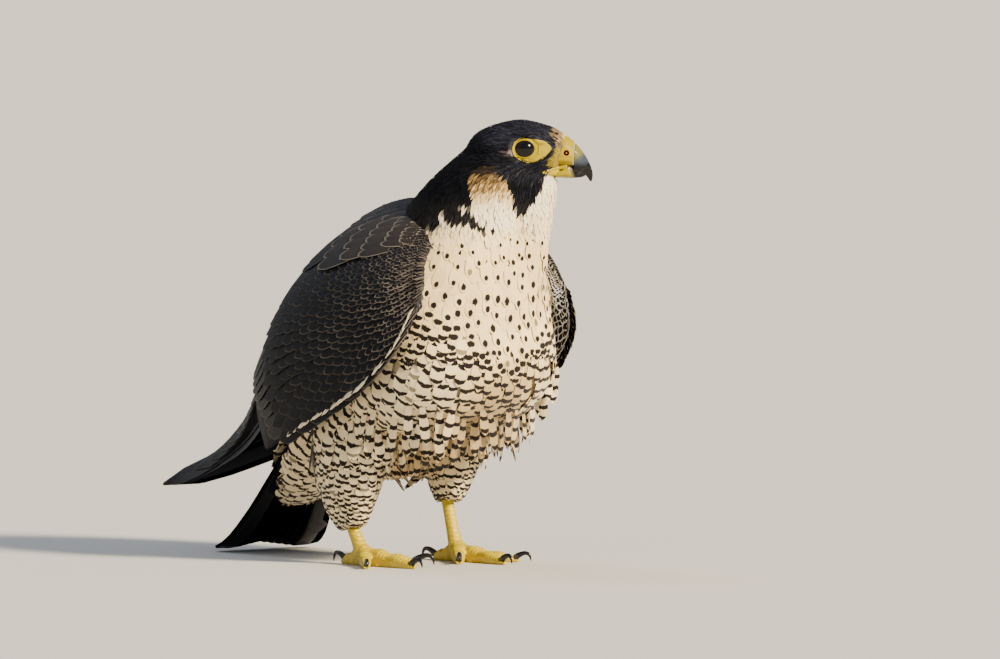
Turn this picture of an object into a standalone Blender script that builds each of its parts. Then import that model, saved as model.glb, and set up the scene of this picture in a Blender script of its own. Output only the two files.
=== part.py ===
"""A life-size adult peregrine falcon, standing on flat ground with its head turned to its left.

The bird faces +X with its left side towards +Y. Sizes and places are in millimetres, measured from the floor
under the middle of the body, and become metres where meshes are made. The last step moves the whole bird so
that the origin is the bottom centre of its bounding box.
"""

import math

import bmesh
import bpy
from mathutils import Matrix, Vector

# Driving dimensions, in millimetres and degrees.
MM = 0.001
GAP = 0.3
HEAD_TURN = 51.0
HEAD_CENTRE = Vector((80.6, 19.5, 250.8))
EYE_RADIUS = 8.0
EYE_SIDE = 15.6
EYE_OPENING = 6.3
EYE_CENTRE = 0.4
LID_THICKNESS = 1.15
LID_SWELL = 0.75
TAIL_FEATHERS = 12
TAIL_VANE_WIDTH = 19.0
TAIL_STEP = 1.0
TAIL_ROOT = 0.16
TAIL_DEPTH = 7.8
TAIL_LENGTH = 160.0
TAIL_OUTLINE = (0.6, 0.85, 1.0, 1.0, 0.5)
TAIL_NOTCH = 0.012
# How far the room for the tail between its coverts reaches to each side and over the tail.
TAIL_ROOM = (46.0, 1.5)
SECONDARIES = 10
PRIMARY_TIPS = (0.985, 1.0, 0.92, 0.885, 0.85, 0.815, 0.78, 0.745, 0.71, 0.68)
PRIMARY_ROWS = (0.40, 0.53, 0.66, 0.79, 0.90)
PRIMARY_DEPTH = -9.5
PRIMARY_STEP = 1.02
LAP = 1.05
COVERT_TOP = 0.64
CORE_REACH = 0.46
CORE_DEPTH = 9.5
FEATHER_THICKNESS = 0.55
FEATHER_NOTCH = 0.04
# Where feather vanes start and end over the wing's surface: sunk roots, and tips that lap over the next tier.
ROOT_LIFT = -2.5
SECONDARY_LIFTS = (ROOT_LIFT, 1.2, 2.0, 2.4)
COVERT_LIFTS = (ROOT_LIFT, 2.0, 4.6)
SCAPULAR_LIFTS = (ROOT_LIFT, 3.0, 5.4)
FOOT_SIDE = {"right": -36.0, "left": 35.0}
MIDDLE_TOE = 46.0
CLAW_LENGTH = 17.0
CLAW_CURVE = 118.0
CLAW_POINT = 0.28
# The whole body's triangles, how many fewer it has once its trunk, below this height, is thinned again.
BODY_TRIANGLES = 4600
TRUNK_TOP = 212.0
TRUNK_SPARED = 2200
# The shares of its old volume that a solid may have after a union and after a cut.
UNION_SHARES = (0.98, 4.0)
CUT_SHARES = (0.02, 1.001)

SIDES = {"right": -1.0, "left": 1.0}
UP = Vector((0.0, 0.0, 1.0))
LEFT = Vector((0.0, 1.0, 0.0))


def spline_at(points, place):
    """The point of a Catmull-Rom curve through tuples of any equal length, at place from 0 to 1."""
    last = len(points) - 1
    place = min(max(place, 0.0), 1.0) * last
    index = min(int(place), last - 1)
    t = place - index
    p0, p1, p2, p3 = (points[min(max(index + k, 0), last)] for k in (-1, 0, 1, 2))
    found = []
    for a, b, c, d in zip(p0, p1, p2, p3):
        bend, twist = 2 * a - 5 * b + 4 * c - d, 3 * b - a - 3 * c + d
        found.append(0.5 * (2 * b + (c - a) * t + bend * t * t + twist * t**3))
    return found


def spline(points, count):
    """Evenly stepped points of the same curve."""
    return [spline_at(points, step / (count - 1)) for step in range(count)]


def finish_material(name, rgb, roughness, metallic=0.0):
    found = bpy.data.materials.get(name)
    if found:
        return found
    made = bpy.data.materials.new(name)
    made.use_nodes = True
    shader = made.node_tree.nodes["Principled BSDF"]
    shader.inputs["Base Color"].default_value = (*rgb, 1.0)
    shader.inputs["Roughness"].default_value = roughness
    shader.inputs["Metallic"].default_value = metallic
    made.diffuse_color = (*rgb, 1.0)
    return made


def slate_feather():
    """Blue-black upper plumage."""
    return finish_material("slate_feather", (0.035, 0.037, 0.045), 0.7)


def pale_feather():
    """Cream breast plumage with dark bars."""
    return finish_material("pale_feather", (0.62, 0.55, 0.42), 0.8)


def yellow_skin():
    """Bare yellow skin of the cere, lids and feet."""
    return finish_material("yellow_skin", (0.85, 0.62, 0.06), 0.45)


def dark_horn():
    """Slate horn of bill and claws."""
    return finish_material("dark_horn", (0.05, 0.055, 0.065), 0.3)


def eye_gloss():
    """Wet brown-black eye."""
    return finish_material("eye_gloss", (0.012, 0.008, 0.006), 0.06)


def mesh_object(name, points, faces, material=None, smooth=True):
    """A closed mesh object from points in millimetres, with its faces turned outwards."""
    mesh = bpy.data.meshes.new(name)
    mesh.from_pydata([Vector(p) * MM for p in points], [], faces)
    shape = bmesh.new()
    shape.from_mesh(mesh)
    bmesh.ops.recalc_face_normals(shape, faces=shape.faces)
    if shape.calc_volume(signed=True) < 0:
        bmesh.ops.reverse_faces(shape, faces=shape.faces)
    shape.to_mesh(mesh)
    shape.free()
    mesh.polygons.foreach_set("use_smooth", [smooth] * len(mesh.polygons))
    made = bpy.data.objects.new(name, mesh)
    if material:
        mesh.materials.append(material)
    bpy.context.scene.collection.objects.link(made)
    return made


def loft(name, rings, material=None):
    """A closed tube through rings of points, each end closed by a fan to the ring's middle."""
    count = len(rings[0])
    points = [p for ring in rings for p in ring]
    faces = []
    for row in range(len(rings) - 1):
        for k in range(count):
            a, b = row * count + k, row * count + (k + 1) % count
            faces.append((a, b, b + count, a + count))
    for ring, flip in ((rings[0], True), (rings[-1], False)):
        middle = sum((Vector(p) for p in ring), Vector()) / count
        start = 0 if flip else (len(rings) - 1) * count
        points.append(middle)
        for k in range(count):
            a, b = start + k, start + (k + 1) % count
            faces.append((b, a, len(points) - 1) if flip else (a, b, len(points) - 1))
    return mesh_object(name, points, faces, material)


def oval_ring(centre, side, up, half_width, above, below, count, power=2.0):
    """A ring of points round centre, with its own reach above and below, squarer as power grows."""
    ring = []
    for k in range(count):
        angle = 2 * math.pi * k / count
        c, s = math.cos(angle), math.sin(angle)
        across = math.copysign(abs(c) ** (2 / power), c) * half_width
        rise = math.copysign(abs(s) ** (2 / power), s) * (above if s >= 0 else below)
        ring.append(centre + side * across + up * rise)
    return ring


def path_loft(name, stations, count, rows, material=None, side=LEFT, power=2.0, turn=None):
    """A loft along stations of (x, y, z, half width, reach above, reach below), each ring square to the path.

    side points to the left of the path, and turn, if given, turns it about +Z from the first row to the last.
    """
    path = spline(stations, rows)
    rings = []
    for row, station in enumerate(path):
        before, after = path[max(row - 1, 0)], path[min(row + 1, rows - 1)]
        along = (Vector(after[:3]) - Vector(before[:3])).normalized()
        across = Matrix.Rotation(math.radians((turn or 0.0) * row / (rows - 1)), 3, "Z") @ side
        across = (across - along * across.dot(along)).normalized()
        up = along.cross(across).normalized()
        half_width, above, below = (max(v, 0.2) for v in station[3:6])
        rings.append(oval_ring(Vector(station[:3]), across, up, half_width, above, below, count, power))
    return loft(name, rings, material)


def remove(made):
    bpy.data.objects.remove(made)


def keep_largest(made):
    """Leaves only the largest closed surface of the mesh."""
    shape = bmesh.new()
    shape.from_mesh(made.data)
    bmesh.ops.remove_doubles(shape, verts=shape.verts, dist=1e-7)
    left = set(shape.faces)
    islands = []
    while left:
        island, front = set(), [left.pop()]
        while front:
            face = front.pop()
            island.add(face)
            for edge in face.edges:
                for other in edge.link_faces:
                    if other in left:
                        left.discard(other)
                        front.append(other)
        islands.append(island)
    islands.sort(key=lambda island: abs(sum(f.calc_area() for f in island)), reverse=True)
    scraps = [face for island in islands[1:] for face in island]
    bmesh.ops.delete(shape, geom=scraps, context="FACES")
    bmesh.ops.delete(shape, geom=[v for v in shape.verts if not v.link_faces], context="VERTS")
    shape.to_mesh(made.data)
    shape.free()


def apply_modifiers(made):
    """Replaces the object's mesh by what its modifiers make of it."""
    graph = bpy.context.evaluated_depsgraph_get()
    graph.update()
    mesh = bpy.data.meshes.new_from_object(made.evaluated_get(graph), depsgraph=graph)
    made.modifiers.clear()
    made.data = mesh


def closed_volume(mesh):
    """The volume that a mesh encloses, or zero if it isn't closed."""
    shape = bmesh.new()
    shape.from_mesh(mesh)
    is_closed = len(shape.faces) > 0 and all(edge.is_manifold for edge in shape.edges)
    volume = shape.calc_volume(signed=True) if is_closed else 0.0
    shape.free()
    return volume


def combine(target, operation, **operand):
    """Applies one Boolean to target, with the solver whose result is closed and of a likely size."""
    before = closed_volume(target.data)
    old = target.data
    for solver in ("EXACT", "MANIFOLD"):
        target.data = old
        boolean = target.modifiers.new("combine", "BOOLEAN")
        boolean.operation = operation
        boolean.solver = solver
        for key, value in operand.items():
            setattr(boolean, key, value)
        apply_modifiers(target)
        keep_largest(target)
        least, most = UNION_SHARES if operation == "UNION" else CUT_SHARES
        if least < closed_volume(target.data) / before < most:
            return
    raise ValueError(f"{target.name}: {operation} fails with both solvers")


def join_all(target, pieces):
    """Unites closed pieces with target in one Boolean on a collection, and removes them."""
    group = bpy.data.collections.new("pieces")
    bpy.context.scene.collection.children.link(group)
    for piece in pieces:
        bpy.context.scene.collection.objects.unlink(piece)
        group.objects.link(piece)
    combine(target, "UNION", operand_type="COLLECTION", collection=group)
    for piece in list(group.objects):
        remove(piece)
    bpy.data.collections.remove(group)
    return target


def cut(target, cutters):
    """Takes closed cutters away from target, and keeps its largest surface. The cutters stay."""
    for cutter in cutters:
        combine(target, "DIFFERENCE", object=cutter)
    return target


def swollen(made, by=GAP):
    """A copy of the object pushed out along its normals, to cut a neighbour clear of it."""
    copy = bpy.data.objects.new(made.name + "_cutter", made.data.copy())
    bpy.context.scene.collection.objects.link(copy)
    shape = bmesh.new()
    shape.from_mesh(copy.data)
    bmesh.ops.recalc_face_normals(shape, faces=shape.faces)
    shape.normal_update()
    moved = [v.co + v.normal * by * MM for v in shape.verts]
    for v, co in zip(shape.verts, moved):
        v.co = co
    shape.to_mesh(copy.data)
    shape.free()
    return copy


def half_space(name, point, normal):
    """A large block that fills the side of a plane that normal points to."""
    size = 600.0
    turn = Vector(normal).normalized().to_track_quat("Z", "Y").to_matrix()
    corners = [(x, y, z) for z in (0, 1) for y in (-1, 1) for x in (-1, 1)]
    points = [Vector(point) + turn @ (Vector((x, y, z)) * size) for x, y, z in corners]
    faces = [(0, 1, 3, 2), (4, 6, 7, 5), (0, 4, 5, 1), (2, 3, 7, 6), (0, 2, 6, 4), (1, 5, 7, 3)]
    return mesh_object(name, points, faces)


def thinned(made, faces, group=None):
    """Thins a mesh to about the given number of triangles, only inside the vertex group if one is given."""
    thin = made.modifiers.new("thin", "DECIMATE")
    thin.ratio = min(1.0, faces / sum(len(face.vertices) - 2 for face in made.data.polygons))
    thin.use_collapse_triangulate = True
    if group:
        thin.vertex_group = group
    apply_modifiers(made)
    keep_largest(made)


def smoothed(made, voxel, relax):
    """Remeshes a body evenly, relaxes it, and thins it, the trunk more than the head."""
    remesh = made.modifiers.new("remesh", "REMESH")
    remesh.mode = "VOXEL"
    remesh.voxel_size = voxel * MM
    apply_modifiers(made)
    low = [v for v in made.data.vertices if v.co.z < TRUNK_TOP * MM]
    trunk = made.vertex_groups.new(name="trunk")
    trunk.add([v.index for v in low], 1.0, "REPLACE")
    breast = made.vertex_groups.new(name="breast")
    breast.add([v.index for v in low if v.co.x > 0], 1.0, "REPLACE")
    for iterations, group in ((relax, ""), (5 * relax, "breast")):
        smooth = made.modifiers.new("smooth", "SMOOTH")
        smooth.factor = 0.5
        smooth.iterations = iterations
        smooth.vertex_group = group
    apply_modifiers(made)
    thinned(made, BODY_TRIANGLES)
    thinned(made, BODY_TRIANGLES - TRUNK_SPARED, "trunk")
    made.data.polygons.foreach_set("use_smooth", [True] * len(made.data.polygons))
    return made


# The body from tail to neck: (x, y, z, half width, back, belly).
TORSO = [
    (-128, 0, 72, 5, 5, 4),
    (-112, 0, 79, 17, 14, 9),
    (-92, 0, 89, 28, 30, 18),
    (-68, 0, 99, 38, 50, 28),
    (-40, 0, 111, 47, 66, 41),
    (-10, 0, 124, 54, 71, 50),
    (18, 0, 139, 59, 72, 54),
    (40, 0, 156, 60, 66, 53),
    (53, 0, 175, 53, 56, 42),
    (60, 1, 194, 41, 47, 33),
    (64, 3, 210, 32, 38, 25),
]
# The loose feathers of belly and flanks over the legs, the same way.
FLANKS = [
    (-52, 0, 95, 34, 20, 16),
    (-22, 0, 98, 47, 28, 21),
    (10, 0, 102, 56, 34, 25),
    (38, 0, 110, 60, 44, 31),
    (56, 0, 124, 57, 46, 35),
    (63, 0, 146, 50, 40, 27),
    (62, 0, 170, 38, 26, 15),
]
# The coverts under the tail, the same way but from the body down, with their under side first.
VENT = [
    (-56, 0, 104, 32, 26, 20),
    (-78, 0, 82, 30, 21, 20),
    (-98, 1, 58, 27, 15, 20),
    (-114, 3, 41, 20, 10, 16),
    (-123, 4, 31, 10, 4, 8),
]
# The neck from inside the shoulders to inside the head.
NECK = [
    (38, 0, 168, 46, 50, 42),
    (50, 1, 190, 41, 48, 36),
    (60, 3, 208, 36, 42, 30),
    (68, 7, 224, 31, 35, 24),
    (74, 12, 238, 26, 28, 20),
    (78, 16, 246, 21, 21, 17),
]
# The full throat in the head's frame, from inside the face down to the breast, its last two front and back.
THROAT = [
    (2, 0, -8, 15, 14, 16),
    (2, 0, -20, 17, 18.5, 20),
    (1, 0, -34, 17, 17.5, 24),
    (-1, 0, -50, 16, 17.5, 26),
    (-6, 0, -70, 13, 20, 28),
    (-14, 0, -90, 8, 20, 24),
]
# The head from nape to cere, in its own frame: (x, y, z, half width, above, below).
HEAD = [
    (-33, 0, -3, 9, 6, 10),
    (-29, 0, -2, 15, 10, 15),
    (-21, 0, 0, 20.5, 13.6, 20),
    (-10, 0, 0, 23.4, 17.2, 23),
    (0, 0, 0, 23.2, 18.0, 22),
    (8, 0, 0, 21.0, 16.4, 19.6),
    (14, 0, 0, 17.6, 14.3, 17.8),
    (19, 0, -0.5, 13.6, 12.2, 16.2),
    (23, 0, -1, 10.2, 9.8, 14.8),
    (25.5, 0, -2, 8.0, 7.0, 12.8),
]


def head_frame():
    """The matrix from the head's own frame, +X to the bill, to the bird's."""
    return Matrix.Translation(HEAD_CENTRE) @ Matrix.Rotation(math.radians(HEAD_TURN), 4, "Z")


def in_head(made):
    """Moves a mesh made in the head's frame to its place on the bird."""
    place = head_frame()
    place.translation = place.translation * MM
    made.data.transform(place)
    return made


def brow(side):
    """The bony ridge over each eye."""
    y = SIDES[side]
    stations = [(16, 12.5 * y, 6.5, 1.0, 1.0, 1.0), (9, 18.4 * y, 9.0, 2.2, 2.2, 2.2),
                (1, 20.8 * y, 9.6, 2.6, 2.4, 2.6), (-8, 20.8 * y, 8.4, 1.6, 1.4, 1.6)]
    return in_head(path_loft("brow_" + side, stations, 8, 8, side=UP))


def whole_body():
    """Torso, neck and head as one smooth skin of flesh and small feathers."""
    torso = path_loft("whole", TORSO, 28, 30, pale_feather(), power=2.15)
    flanks = path_loft("flank_core", FLANKS, 24, 18, power=2.2)
    vent = path_loft("vent_core", VENT, 20, 12, power=2.4)
    neck = path_loft("neck_core", NECK, 24, 14, turn=HEAD_TURN)
    throat = in_head(path_loft("throat_core", THROAT, 24, 14))
    head = in_head(path_loft("head_core", HEAD, 24, 22))
    body = join_all(torso, [flanks, vent, neck, throat, head, brow("right"), brow("left")])
    return smoothed(body, voxel=2.2, relax=7)


HEAD_CUT = (Vector((64, 5, 219)), Vector((0.52, 0.22, 0.82)))
NECK_CUT = (Vector((52, 1, 186)), Vector((0.5, 0.0, 0.86)))


def between_planes(body, name, above, below, material):
    """A copy of the body kept above one plane and below another, each moved back by half the gap."""
    part = bpy.data.objects.new(name, body.data.copy())
    part.data.name = name
    bpy.context.scene.collection.objects.link(part)
    cutters = []
    for plane, sign in ((above, -1.0), (below, 1.0)):
        if plane:
            point, normal = plane
            normal = normal.normalized()
            cutters.append(half_space("plane", point - normal * sign * GAP / 2, normal * sign))
    cut(part, cutters)
    for cutter in cutters:
        remove(cutter)
    part.data.materials.clear()
    part.data.materials.append(material)
    return part


def eye_place(side):
    """The eye's frame in the head: +Z looks out of the eye, sideways and a little forwards."""
    y = SIDES[side]
    look = Vector((0.17, y, 0.03)).normalized()
    turn = look.to_track_quat("Z", "Y").to_matrix().to_4x4()
    return Matrix.Translation(Vector((EYE_CENTRE, EYE_SIDE * y, EYE_CENTRE))) @ turn


def eyeball(name, side, radius, material=None):
    """A sphere turned with its poles along the eye's line of sight."""
    rings = []
    rows, count = 8, 14
    place = eye_place(side)
    for row in range(1, rows):
        angle = math.pi * row / rows
        ring = []
        for k in range(count):
            around = 2 * math.pi * k / count
            flat = Vector((math.cos(around), math.sin(around), 0.0)) * math.sin(angle)
            ring.append(place @ ((flat + UP * math.cos(angle)) * radius))
        rings.append(ring)
    poles = [place @ (UP * radius), place @ (-UP * radius)]
    points = [p for ring in rings for p in ring] + poles
    faces = []
    for row in range(len(rings) - 1):
        for k in range(count):
            a, b = row * count + k, row * count + (k + 1) % count
            faces.append((a, b, b + count, a + count))
    for k in range(count):
        last = (len(rings) - 1) * count
        faces.append((k, (k + 1) % count, len(points) - 2))
        faces.append((last + k, last + (k + 1) % count, len(points) - 1))
    return in_head(mesh_object(name, points, faces, material))


def lid_ring(side):
    """The bare ring of skin round the eye, thicker in front."""
    place = eye_place(side)
    level = math.sqrt((EYE_RADIUS + GAP) ** 2 - EYE_OPENING**2)
    rings = []
    count, around_count = 6, 18
    for step in range(around_count):
        around = 2 * math.pi * step / around_count
        out = Vector((math.cos(around), math.sin(around), 0.0))
        forward = max(0.0, (place.to_3x3() @ out).x)
        thick = LID_THICKNESS + LID_SWELL * forward
        middle = out * (EYE_OPENING + thick * 0.7) + UP * (level - 0.15)
        ring = []
        for k in range(count):
            a = 2 * math.pi * k / count
            ring.append(place @ (middle + (out * math.cos(a) + UP * math.sin(a)) * thick))
        rings.append(ring)
    points = [p for ring in rings for p in ring]
    faces = []
    for row in range(around_count):
        for k in range(count):
            a, b = row * count + k, row * count + (k + 1) % count
            c = ((row + 1) % around_count) * count
            faces.append((a, b, c + (k + 1) % count, c + k))
    return in_head(mesh_object("lid_" + side, points, faces))


# The upper bill as pairs of ridge and edge points in the head's frame, (ridge x, z, edge x, z, half width).
UPPER_BILL = [
    (30.0, 3.4, 28.6, -11.2, 7.5),
    (32.6, 0.8, 30.8, -11.9, 6.8),
    (35.0, -2.4, 32.6, -13.4, 5.9),
    (37.2, -5.8, 34.3, -12.9, 4.9),
    (39.0, -9.6, 35.8, -13.6, 3.8),
    (40.3, -13.4, 37.2, -14.8, 2.7),
    (40.5, -16.6, 38.5, -17.0, 1.6),
    (39.9, -19.6, 39.2, -19.5, 0.5),
]
# The cere the same way, from inside the face to the bill.
CERE = [
    (20.0, 8.0, 18.0, -11.4, 9.6),
    (24.0, 7.9, 21.8, -11.0, 9.6),
    (26.8, 6.6, 25.4, -10.9, 8.8),
    (29.7, 3.9, 28.3, -11.1, 7.8),
]
# The lower bill along its length in the head's frame: (x, y, z, half width, above, below).
LOWER_BILL = [
    (14, 0, -14.6, 8.0, 2.4, 2.6),
    (20, 0, -14.6, 7.4, 2.9, 2.8),
    (26, 0, -14.7, 6.2, 2.9, 3.0),
    (30, 0, -15.0, 4.9, 2.4, 2.6),
    (33, 0, -15.4, 3.2, 1.4, 1.8),
    (34.6, 0, -15.7, 1.4, 0.7, 0.8),
]
NOSTRIL = Vector((24.6, 0.0, -2.4))
NOSTRIL_RADIUS = 1.6
NOSTRIL_POST = 0.55
# How far from the head's middle the pit ends and starts.
NOSTRIL_REACH = (11.4, 6.2)


def ridge_loft(name, table, rows, material):
    """A loft whose rings stand between a ridge line and an edge line."""
    rings = []
    for ridge_x, ridge_z, edge_x, edge_z, half_width in spline(table, rows):
        top, bottom = Vector((ridge_x, 0, ridge_z)), Vector((edge_x, 0, edge_z))
        middle = bottom.lerp(top, 0.42)
        rise = (top - bottom).normalized()
        above, below = (top - middle).length, (middle - bottom).length
        rings.append(oval_ring(middle, LEFT, rise, half_width, above, below, 14, 2.2))
    return in_head(loft(name, rings, material))


def nostril_cutter(side):
    """A round pit in the cere with its small post left standing."""
    y = SIDES[side]
    count = 10
    points, faces = [], []
    for reach in NOSTRIL_REACH:
        for radius in (NOSTRIL_POST, NOSTRIL_RADIUS):
            for k in range(count):
                a = 2 * math.pi * k / count
                points.append(NOSTRIL + Vector((math.cos(a) * radius, y * reach, math.sin(a) * radius)))
    for k in range(count):
        n = (k + 1) % count
        faces.append((k, n, count + n, count + k))
        faces.append((2 * count + k, 2 * count + n, 3 * count + n, 3 * count + k))
        faces.append((k, n, 2 * count + n, 2 * count + k))
        faces.append((count + k, count + n, 3 * count + n, 3 * count + k))
    return in_head(mesh_object("nostril_" + side, points, faces))


def gape_fold(side, z_step, name):
    """The soft yellow corner of the mouth, one fold for each jaw, running back under the eye."""
    y = SIDES[side]
    stations = [(21, 8.6 * y, -11.6 + z_step, 0.9, 0.9, 0.9), (15.5, 11.9 * y, -12.6 + z_step, 1.0, 1.1, 1.1),
                (10.0, 15.6 * y, -14.6 + z_step * 0.5, 0.6, 0.6, 0.6)]
    return in_head(path_loft(name, stations, 5, 4, side=UP))


def make_head(body):
    """Head, cere, bill and eyes. Each piece is cut clear of the one it grows from."""
    head = between_planes(body, "head", HEAD_CUT, None, slate_feather())
    folds = [gape_fold(side, step, "fold") for side in SIDES for step in (1.0, -1.5)]
    join_all(head, [lid_ring("right"), lid_ring("left")] + folds)
    upper = ridge_loft("upper_bill", UPPER_BILL, 12, dark_horn())
    cere = ridge_loft("cere", CERE, 6, yellow_skin())
    lower = in_head(path_loft("lower_bill", LOWER_BILL, 12, 9, dark_horn(), power=2.3))
    sockets = [eyeball("socket", side, EYE_RADIUS + GAP) for side in SIDES]
    clear = [swollen(cere), swollen(lower)]
    cut(head, sockets + clear)
    cut(lower, [clear[0]])
    upper_clear = swollen(upper)
    nostrils = [nostril_cutter(side) for side in SIDES]
    cut(cere, [upper_clear] + nostrils)
    cut(lower, [upper_clear])
    for helper in sockets + clear + nostrils + [upper_clear]:
        remove(helper)
    for side in SIDES:
        eyeball("eye_" + side, side, EYE_RADIUS, eye_gloss())
    return head


# The folded wing's sheet, right side: its lower, leading edge and its upper edge from wrist to tip, with the
# bulge between them: (x, y, z) of each edge and the bulge.
WING_SHEET = [
    (74, -55, 162, 58, -24, 204, 9),
    (66, -63, 140, 36, -18, 213, 18),
    (40, -67, 116, 4, -13, 214, 24),
    (2, -66, 98, -30, -10, 205, 26),
    (-32, -61, 86, -62, -9, 186, 25),
    (-66, -52, 74, -90, -9, 158, 20),
    (-100, -42, 63, -114, -10, 129, 13),
    (-133, -31, 57, -136, -10, 101, 7),
    (-163, -23, 53, -159, -11, 79, 3.5),
    (-194, -17, 48, -188, -13, 58, 1.5),
    (-230, -13, 40, -229, -12, 43, 0.3),
]


def sheet_row(s):
    """The sheet's lower edge, upper edge, outward direction and bulge at s, on the right side."""
    row = spline_at(WING_SHEET, s)
    after, before = spline_at(WING_SHEET, s + 0.02), spline_at(WING_SHEET, s - 0.02)
    low, high = Vector(row[0:3]), Vector(row[3:6])
    back = Vector(after[0:3]) + Vector(after[3:6]) - Vector(before[0:3]) - Vector(before[3:6])
    outward = (high - low).cross(back).normalized()
    if outward.y > 0:
        outward = -outward
    return low, high, outward, row[6]


def on_side(side, point, direction):
    """The point and direction as they are on the right, or mirrored for the left."""
    if SIDES[side] > 0:
        point.y, direction.y = -point.y, -direction.y
    return point, direction


def sheet_point(side, s, t, lift=0.0):
    """A point of the wing's sheet at s from wrist to tip and t from lower to upper edge, lifted off it."""
    low, high, outward, bulge = sheet_row(s)
    lean = (0.5 - t) * 1.3 * min(1.0, bulge / 8.0)
    normal = (outward - (high - low).normalized() * lean).normalized()
    return on_side(side, low.lerp(high, t) + outward * bulge * 4 * t * (1 - t) + normal * lift, normal)


def hand_point(side, s, t, lift):
    """A point of the flat stack of primaries inside the sheet, straight between its rows and across."""
    stops = PRIMARY_ROWS + (1.0,)
    index = max(k for k in range(len(stops) - 1) if stops[k] <= s + 1e-6)
    share = (s - stops[index]) / (stops[index + 1] - stops[index])
    ends = []
    for stop in stops[index : index + 2]:
        low, high, outward, bulge = sheet_row(stop)
        ends.append((low.lerp(high, t) + outward * bulge * 0.72, outward))
    point, outward = (a.lerp(b, share) for a, b in zip(*ends))
    return on_side(side, point - LEFT * lift, outward.normalized())


def sheet_width(s):
    """The distance from lower to upper edge of the sheet at s."""
    row = spline_at(WING_SHEET, s)
    return (Vector(row[3:6]) - Vector(row[0:3])).length


def wing_core(side):
    """The feathered arm and hand inside the folded wing, a shell that the vanes grow from."""
    rows, count = 7, 7
    outer, inner = [], []
    for i in range(rows):
        share = i / (rows - 1)
        depth = CORE_DEPTH * (1 - 0.12 * share**2) * min(1.0, 0.35 + 3.2 * share)
        for j in range(count):
            edge = 1.0 if 0 < j < count - 1 else 0.0
            t = 0.02 + 0.96 * j / (count - 1)
            outer.append(sheet_point(side, CORE_REACH * share, t, 0.4 * (edge - 1))[0])
            inner.append(sheet_point(side, CORE_REACH * share, t, -2.0 - depth * edge)[0])
    points = outer + inner
    shift = rows * count
    faces = []
    for i in range(rows - 1):
        for j in range(count - 1):
            a, b, c, d = i * count + j, i * count + j + 1, (i + 1) * count + j + 1, (i + 1) * count + j
            faces += [(a, b, c), (a, c, d)]
            faces += [(a + shift, c + shift, b + shift), (a + shift, d + shift, c + shift)]
    rim = [j for j in range(count)]
    rim += [i * count + count - 1 for i in range(1, rows)]
    rim += [(rows - 1) * count + j for j in range(count - 2, -1, -1)]
    rim += [i * count for i in range(rows - 2, 0, -1)]
    for a, b in zip(rim, rim[1:] + rim[:1]):
        faces += [(a, b, b + shift), (a, b + shift, a + shift)]
    return mesh_object("wing_" + side, points, faces, slate_feather())


# Rows of a vane from root to tip: how far along it, and its share of the full width.
CONTOUR_ROWS = ((0.0, 0.6), (0.36, 1.0), (1.0, 0.5))
FLIGHT_ROWS = ((0.0, 0.6), (0.3, 0.95), (0.8, 1.0), (1.0, 0.35))


def vane(rows, thickness=FEATHER_THICKNESS):
    """One feather as a thin closed sheet, its triangles alike on both faces.

    Each row holds the (point, normal) of its left edge, its shaft and its right edge.
    """
    upper = [point + normal * thickness / 2 for row in rows for point, normal in row]
    lower = [point - normal * thickness / 2 for row in rows for point, normal in row]
    shift = len(upper)
    faces = []
    for row in range(len(rows) - 1):
        for column in range(2):
            a, b = row * 3 + column, row * 3 + column + 1
            c, d = b + 3, a + 3
            for face in ((a, b, c), (a, c, d)) if column == 0 else ((a, b, d), (b, c, d)):
                faces.append(face)
                faces.append(tuple(v + shift for v in reversed(face)))
    last = (len(rows) - 1) * 3
    rim = [0, 1, 2] + [row * 3 + 2 for row in range(1, len(rows))]
    rim += [last + 1] + [row * 3 for row in range(len(rows) - 1, 0, -1)]
    for a, b in zip(rim, rim[1:] + rim[:1]):
        faces += [(a, b, b + shift), (a, b + shift, a + shift)]
    return mesh_object("vane", upper + lower, faces, smooth=False)


def sheet_vane(side, start, end, lifts, width, outline, lap=0.0, surface=sheet_point):
    """A vane that follows the wing's surface from one (s, t) to another, with a height over it for each row.

    lap is how much higher it lies, for each unit of t, towards the wing's lower edge, to lap the next one up.
    """
    rows = []
    for (along, share), lift in zip(outline, lifts):
        s = start[0] + (end[0] - start[0]) * along
        half = min(share * width, 0.8 * sheet_width(s)) / 2 / sheet_width(s)
        t = min(start[1] + (end[1] - start[1]) * along, 1.0 - half)
        row = []
        for step in (-1, 0, 1):
            notch = FEATHER_NOTCH * (end[0] - start[0]) if step == 0 and along == 1.0 else 0.0
            row.append(surface(side, min(s + notch, 1.0), t + step * half, lift - lap * step * half))
        rows.append(row)
    return vane(rows)


def primary_vanes(side):
    """Ten primaries stacked under the secondaries, the two outermost reaching the wing's tip."""
    vanes = []
    for order, tip in enumerate(PRIMARY_TIPS):
        share = order / (len(PRIMARY_TIPS) - 1)
        start = (PRIMARY_ROWS[0], 0.16 + 0.28 * share)
        end = (tip, min(0.30 + 0.25 * order, 0.66))
        stations = [s for s in PRIMARY_ROWS if s < tip - 0.03] + [tip]
        outline = [((s - start[0]) / (tip - start[0]), min(1.0, 0.35 + 8.0 * (tip - s))) for s in stations]
        lifts = [PRIMARY_DEPTH + PRIMARY_STEP * order] * len(stations)
        vanes.append(sheet_vane(side, start, end, lifts, 13.0 + 5.0 * share, outline, surface=hand_point))
    return vanes


def secondary_vanes(side):
    """Secondaries and tertials as a fan over the rump, each lapping over the next one up."""
    vanes = []
    spread = 0.83 / (SECONDARIES - 1)
    for order in range(SECONDARIES):
        start = (0.30, 0.08 + spread * order)
        end = (0.60 + 0.035 * math.sin(math.pi * order / (SECONDARIES - 1)), 0.12 + spread * 0.97 * order)
        vanes.append(sheet_vane(side, start, end, SECONDARY_LIFTS, 16.0, FLIGHT_ROWS, LAP / spread))
    return vanes


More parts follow.
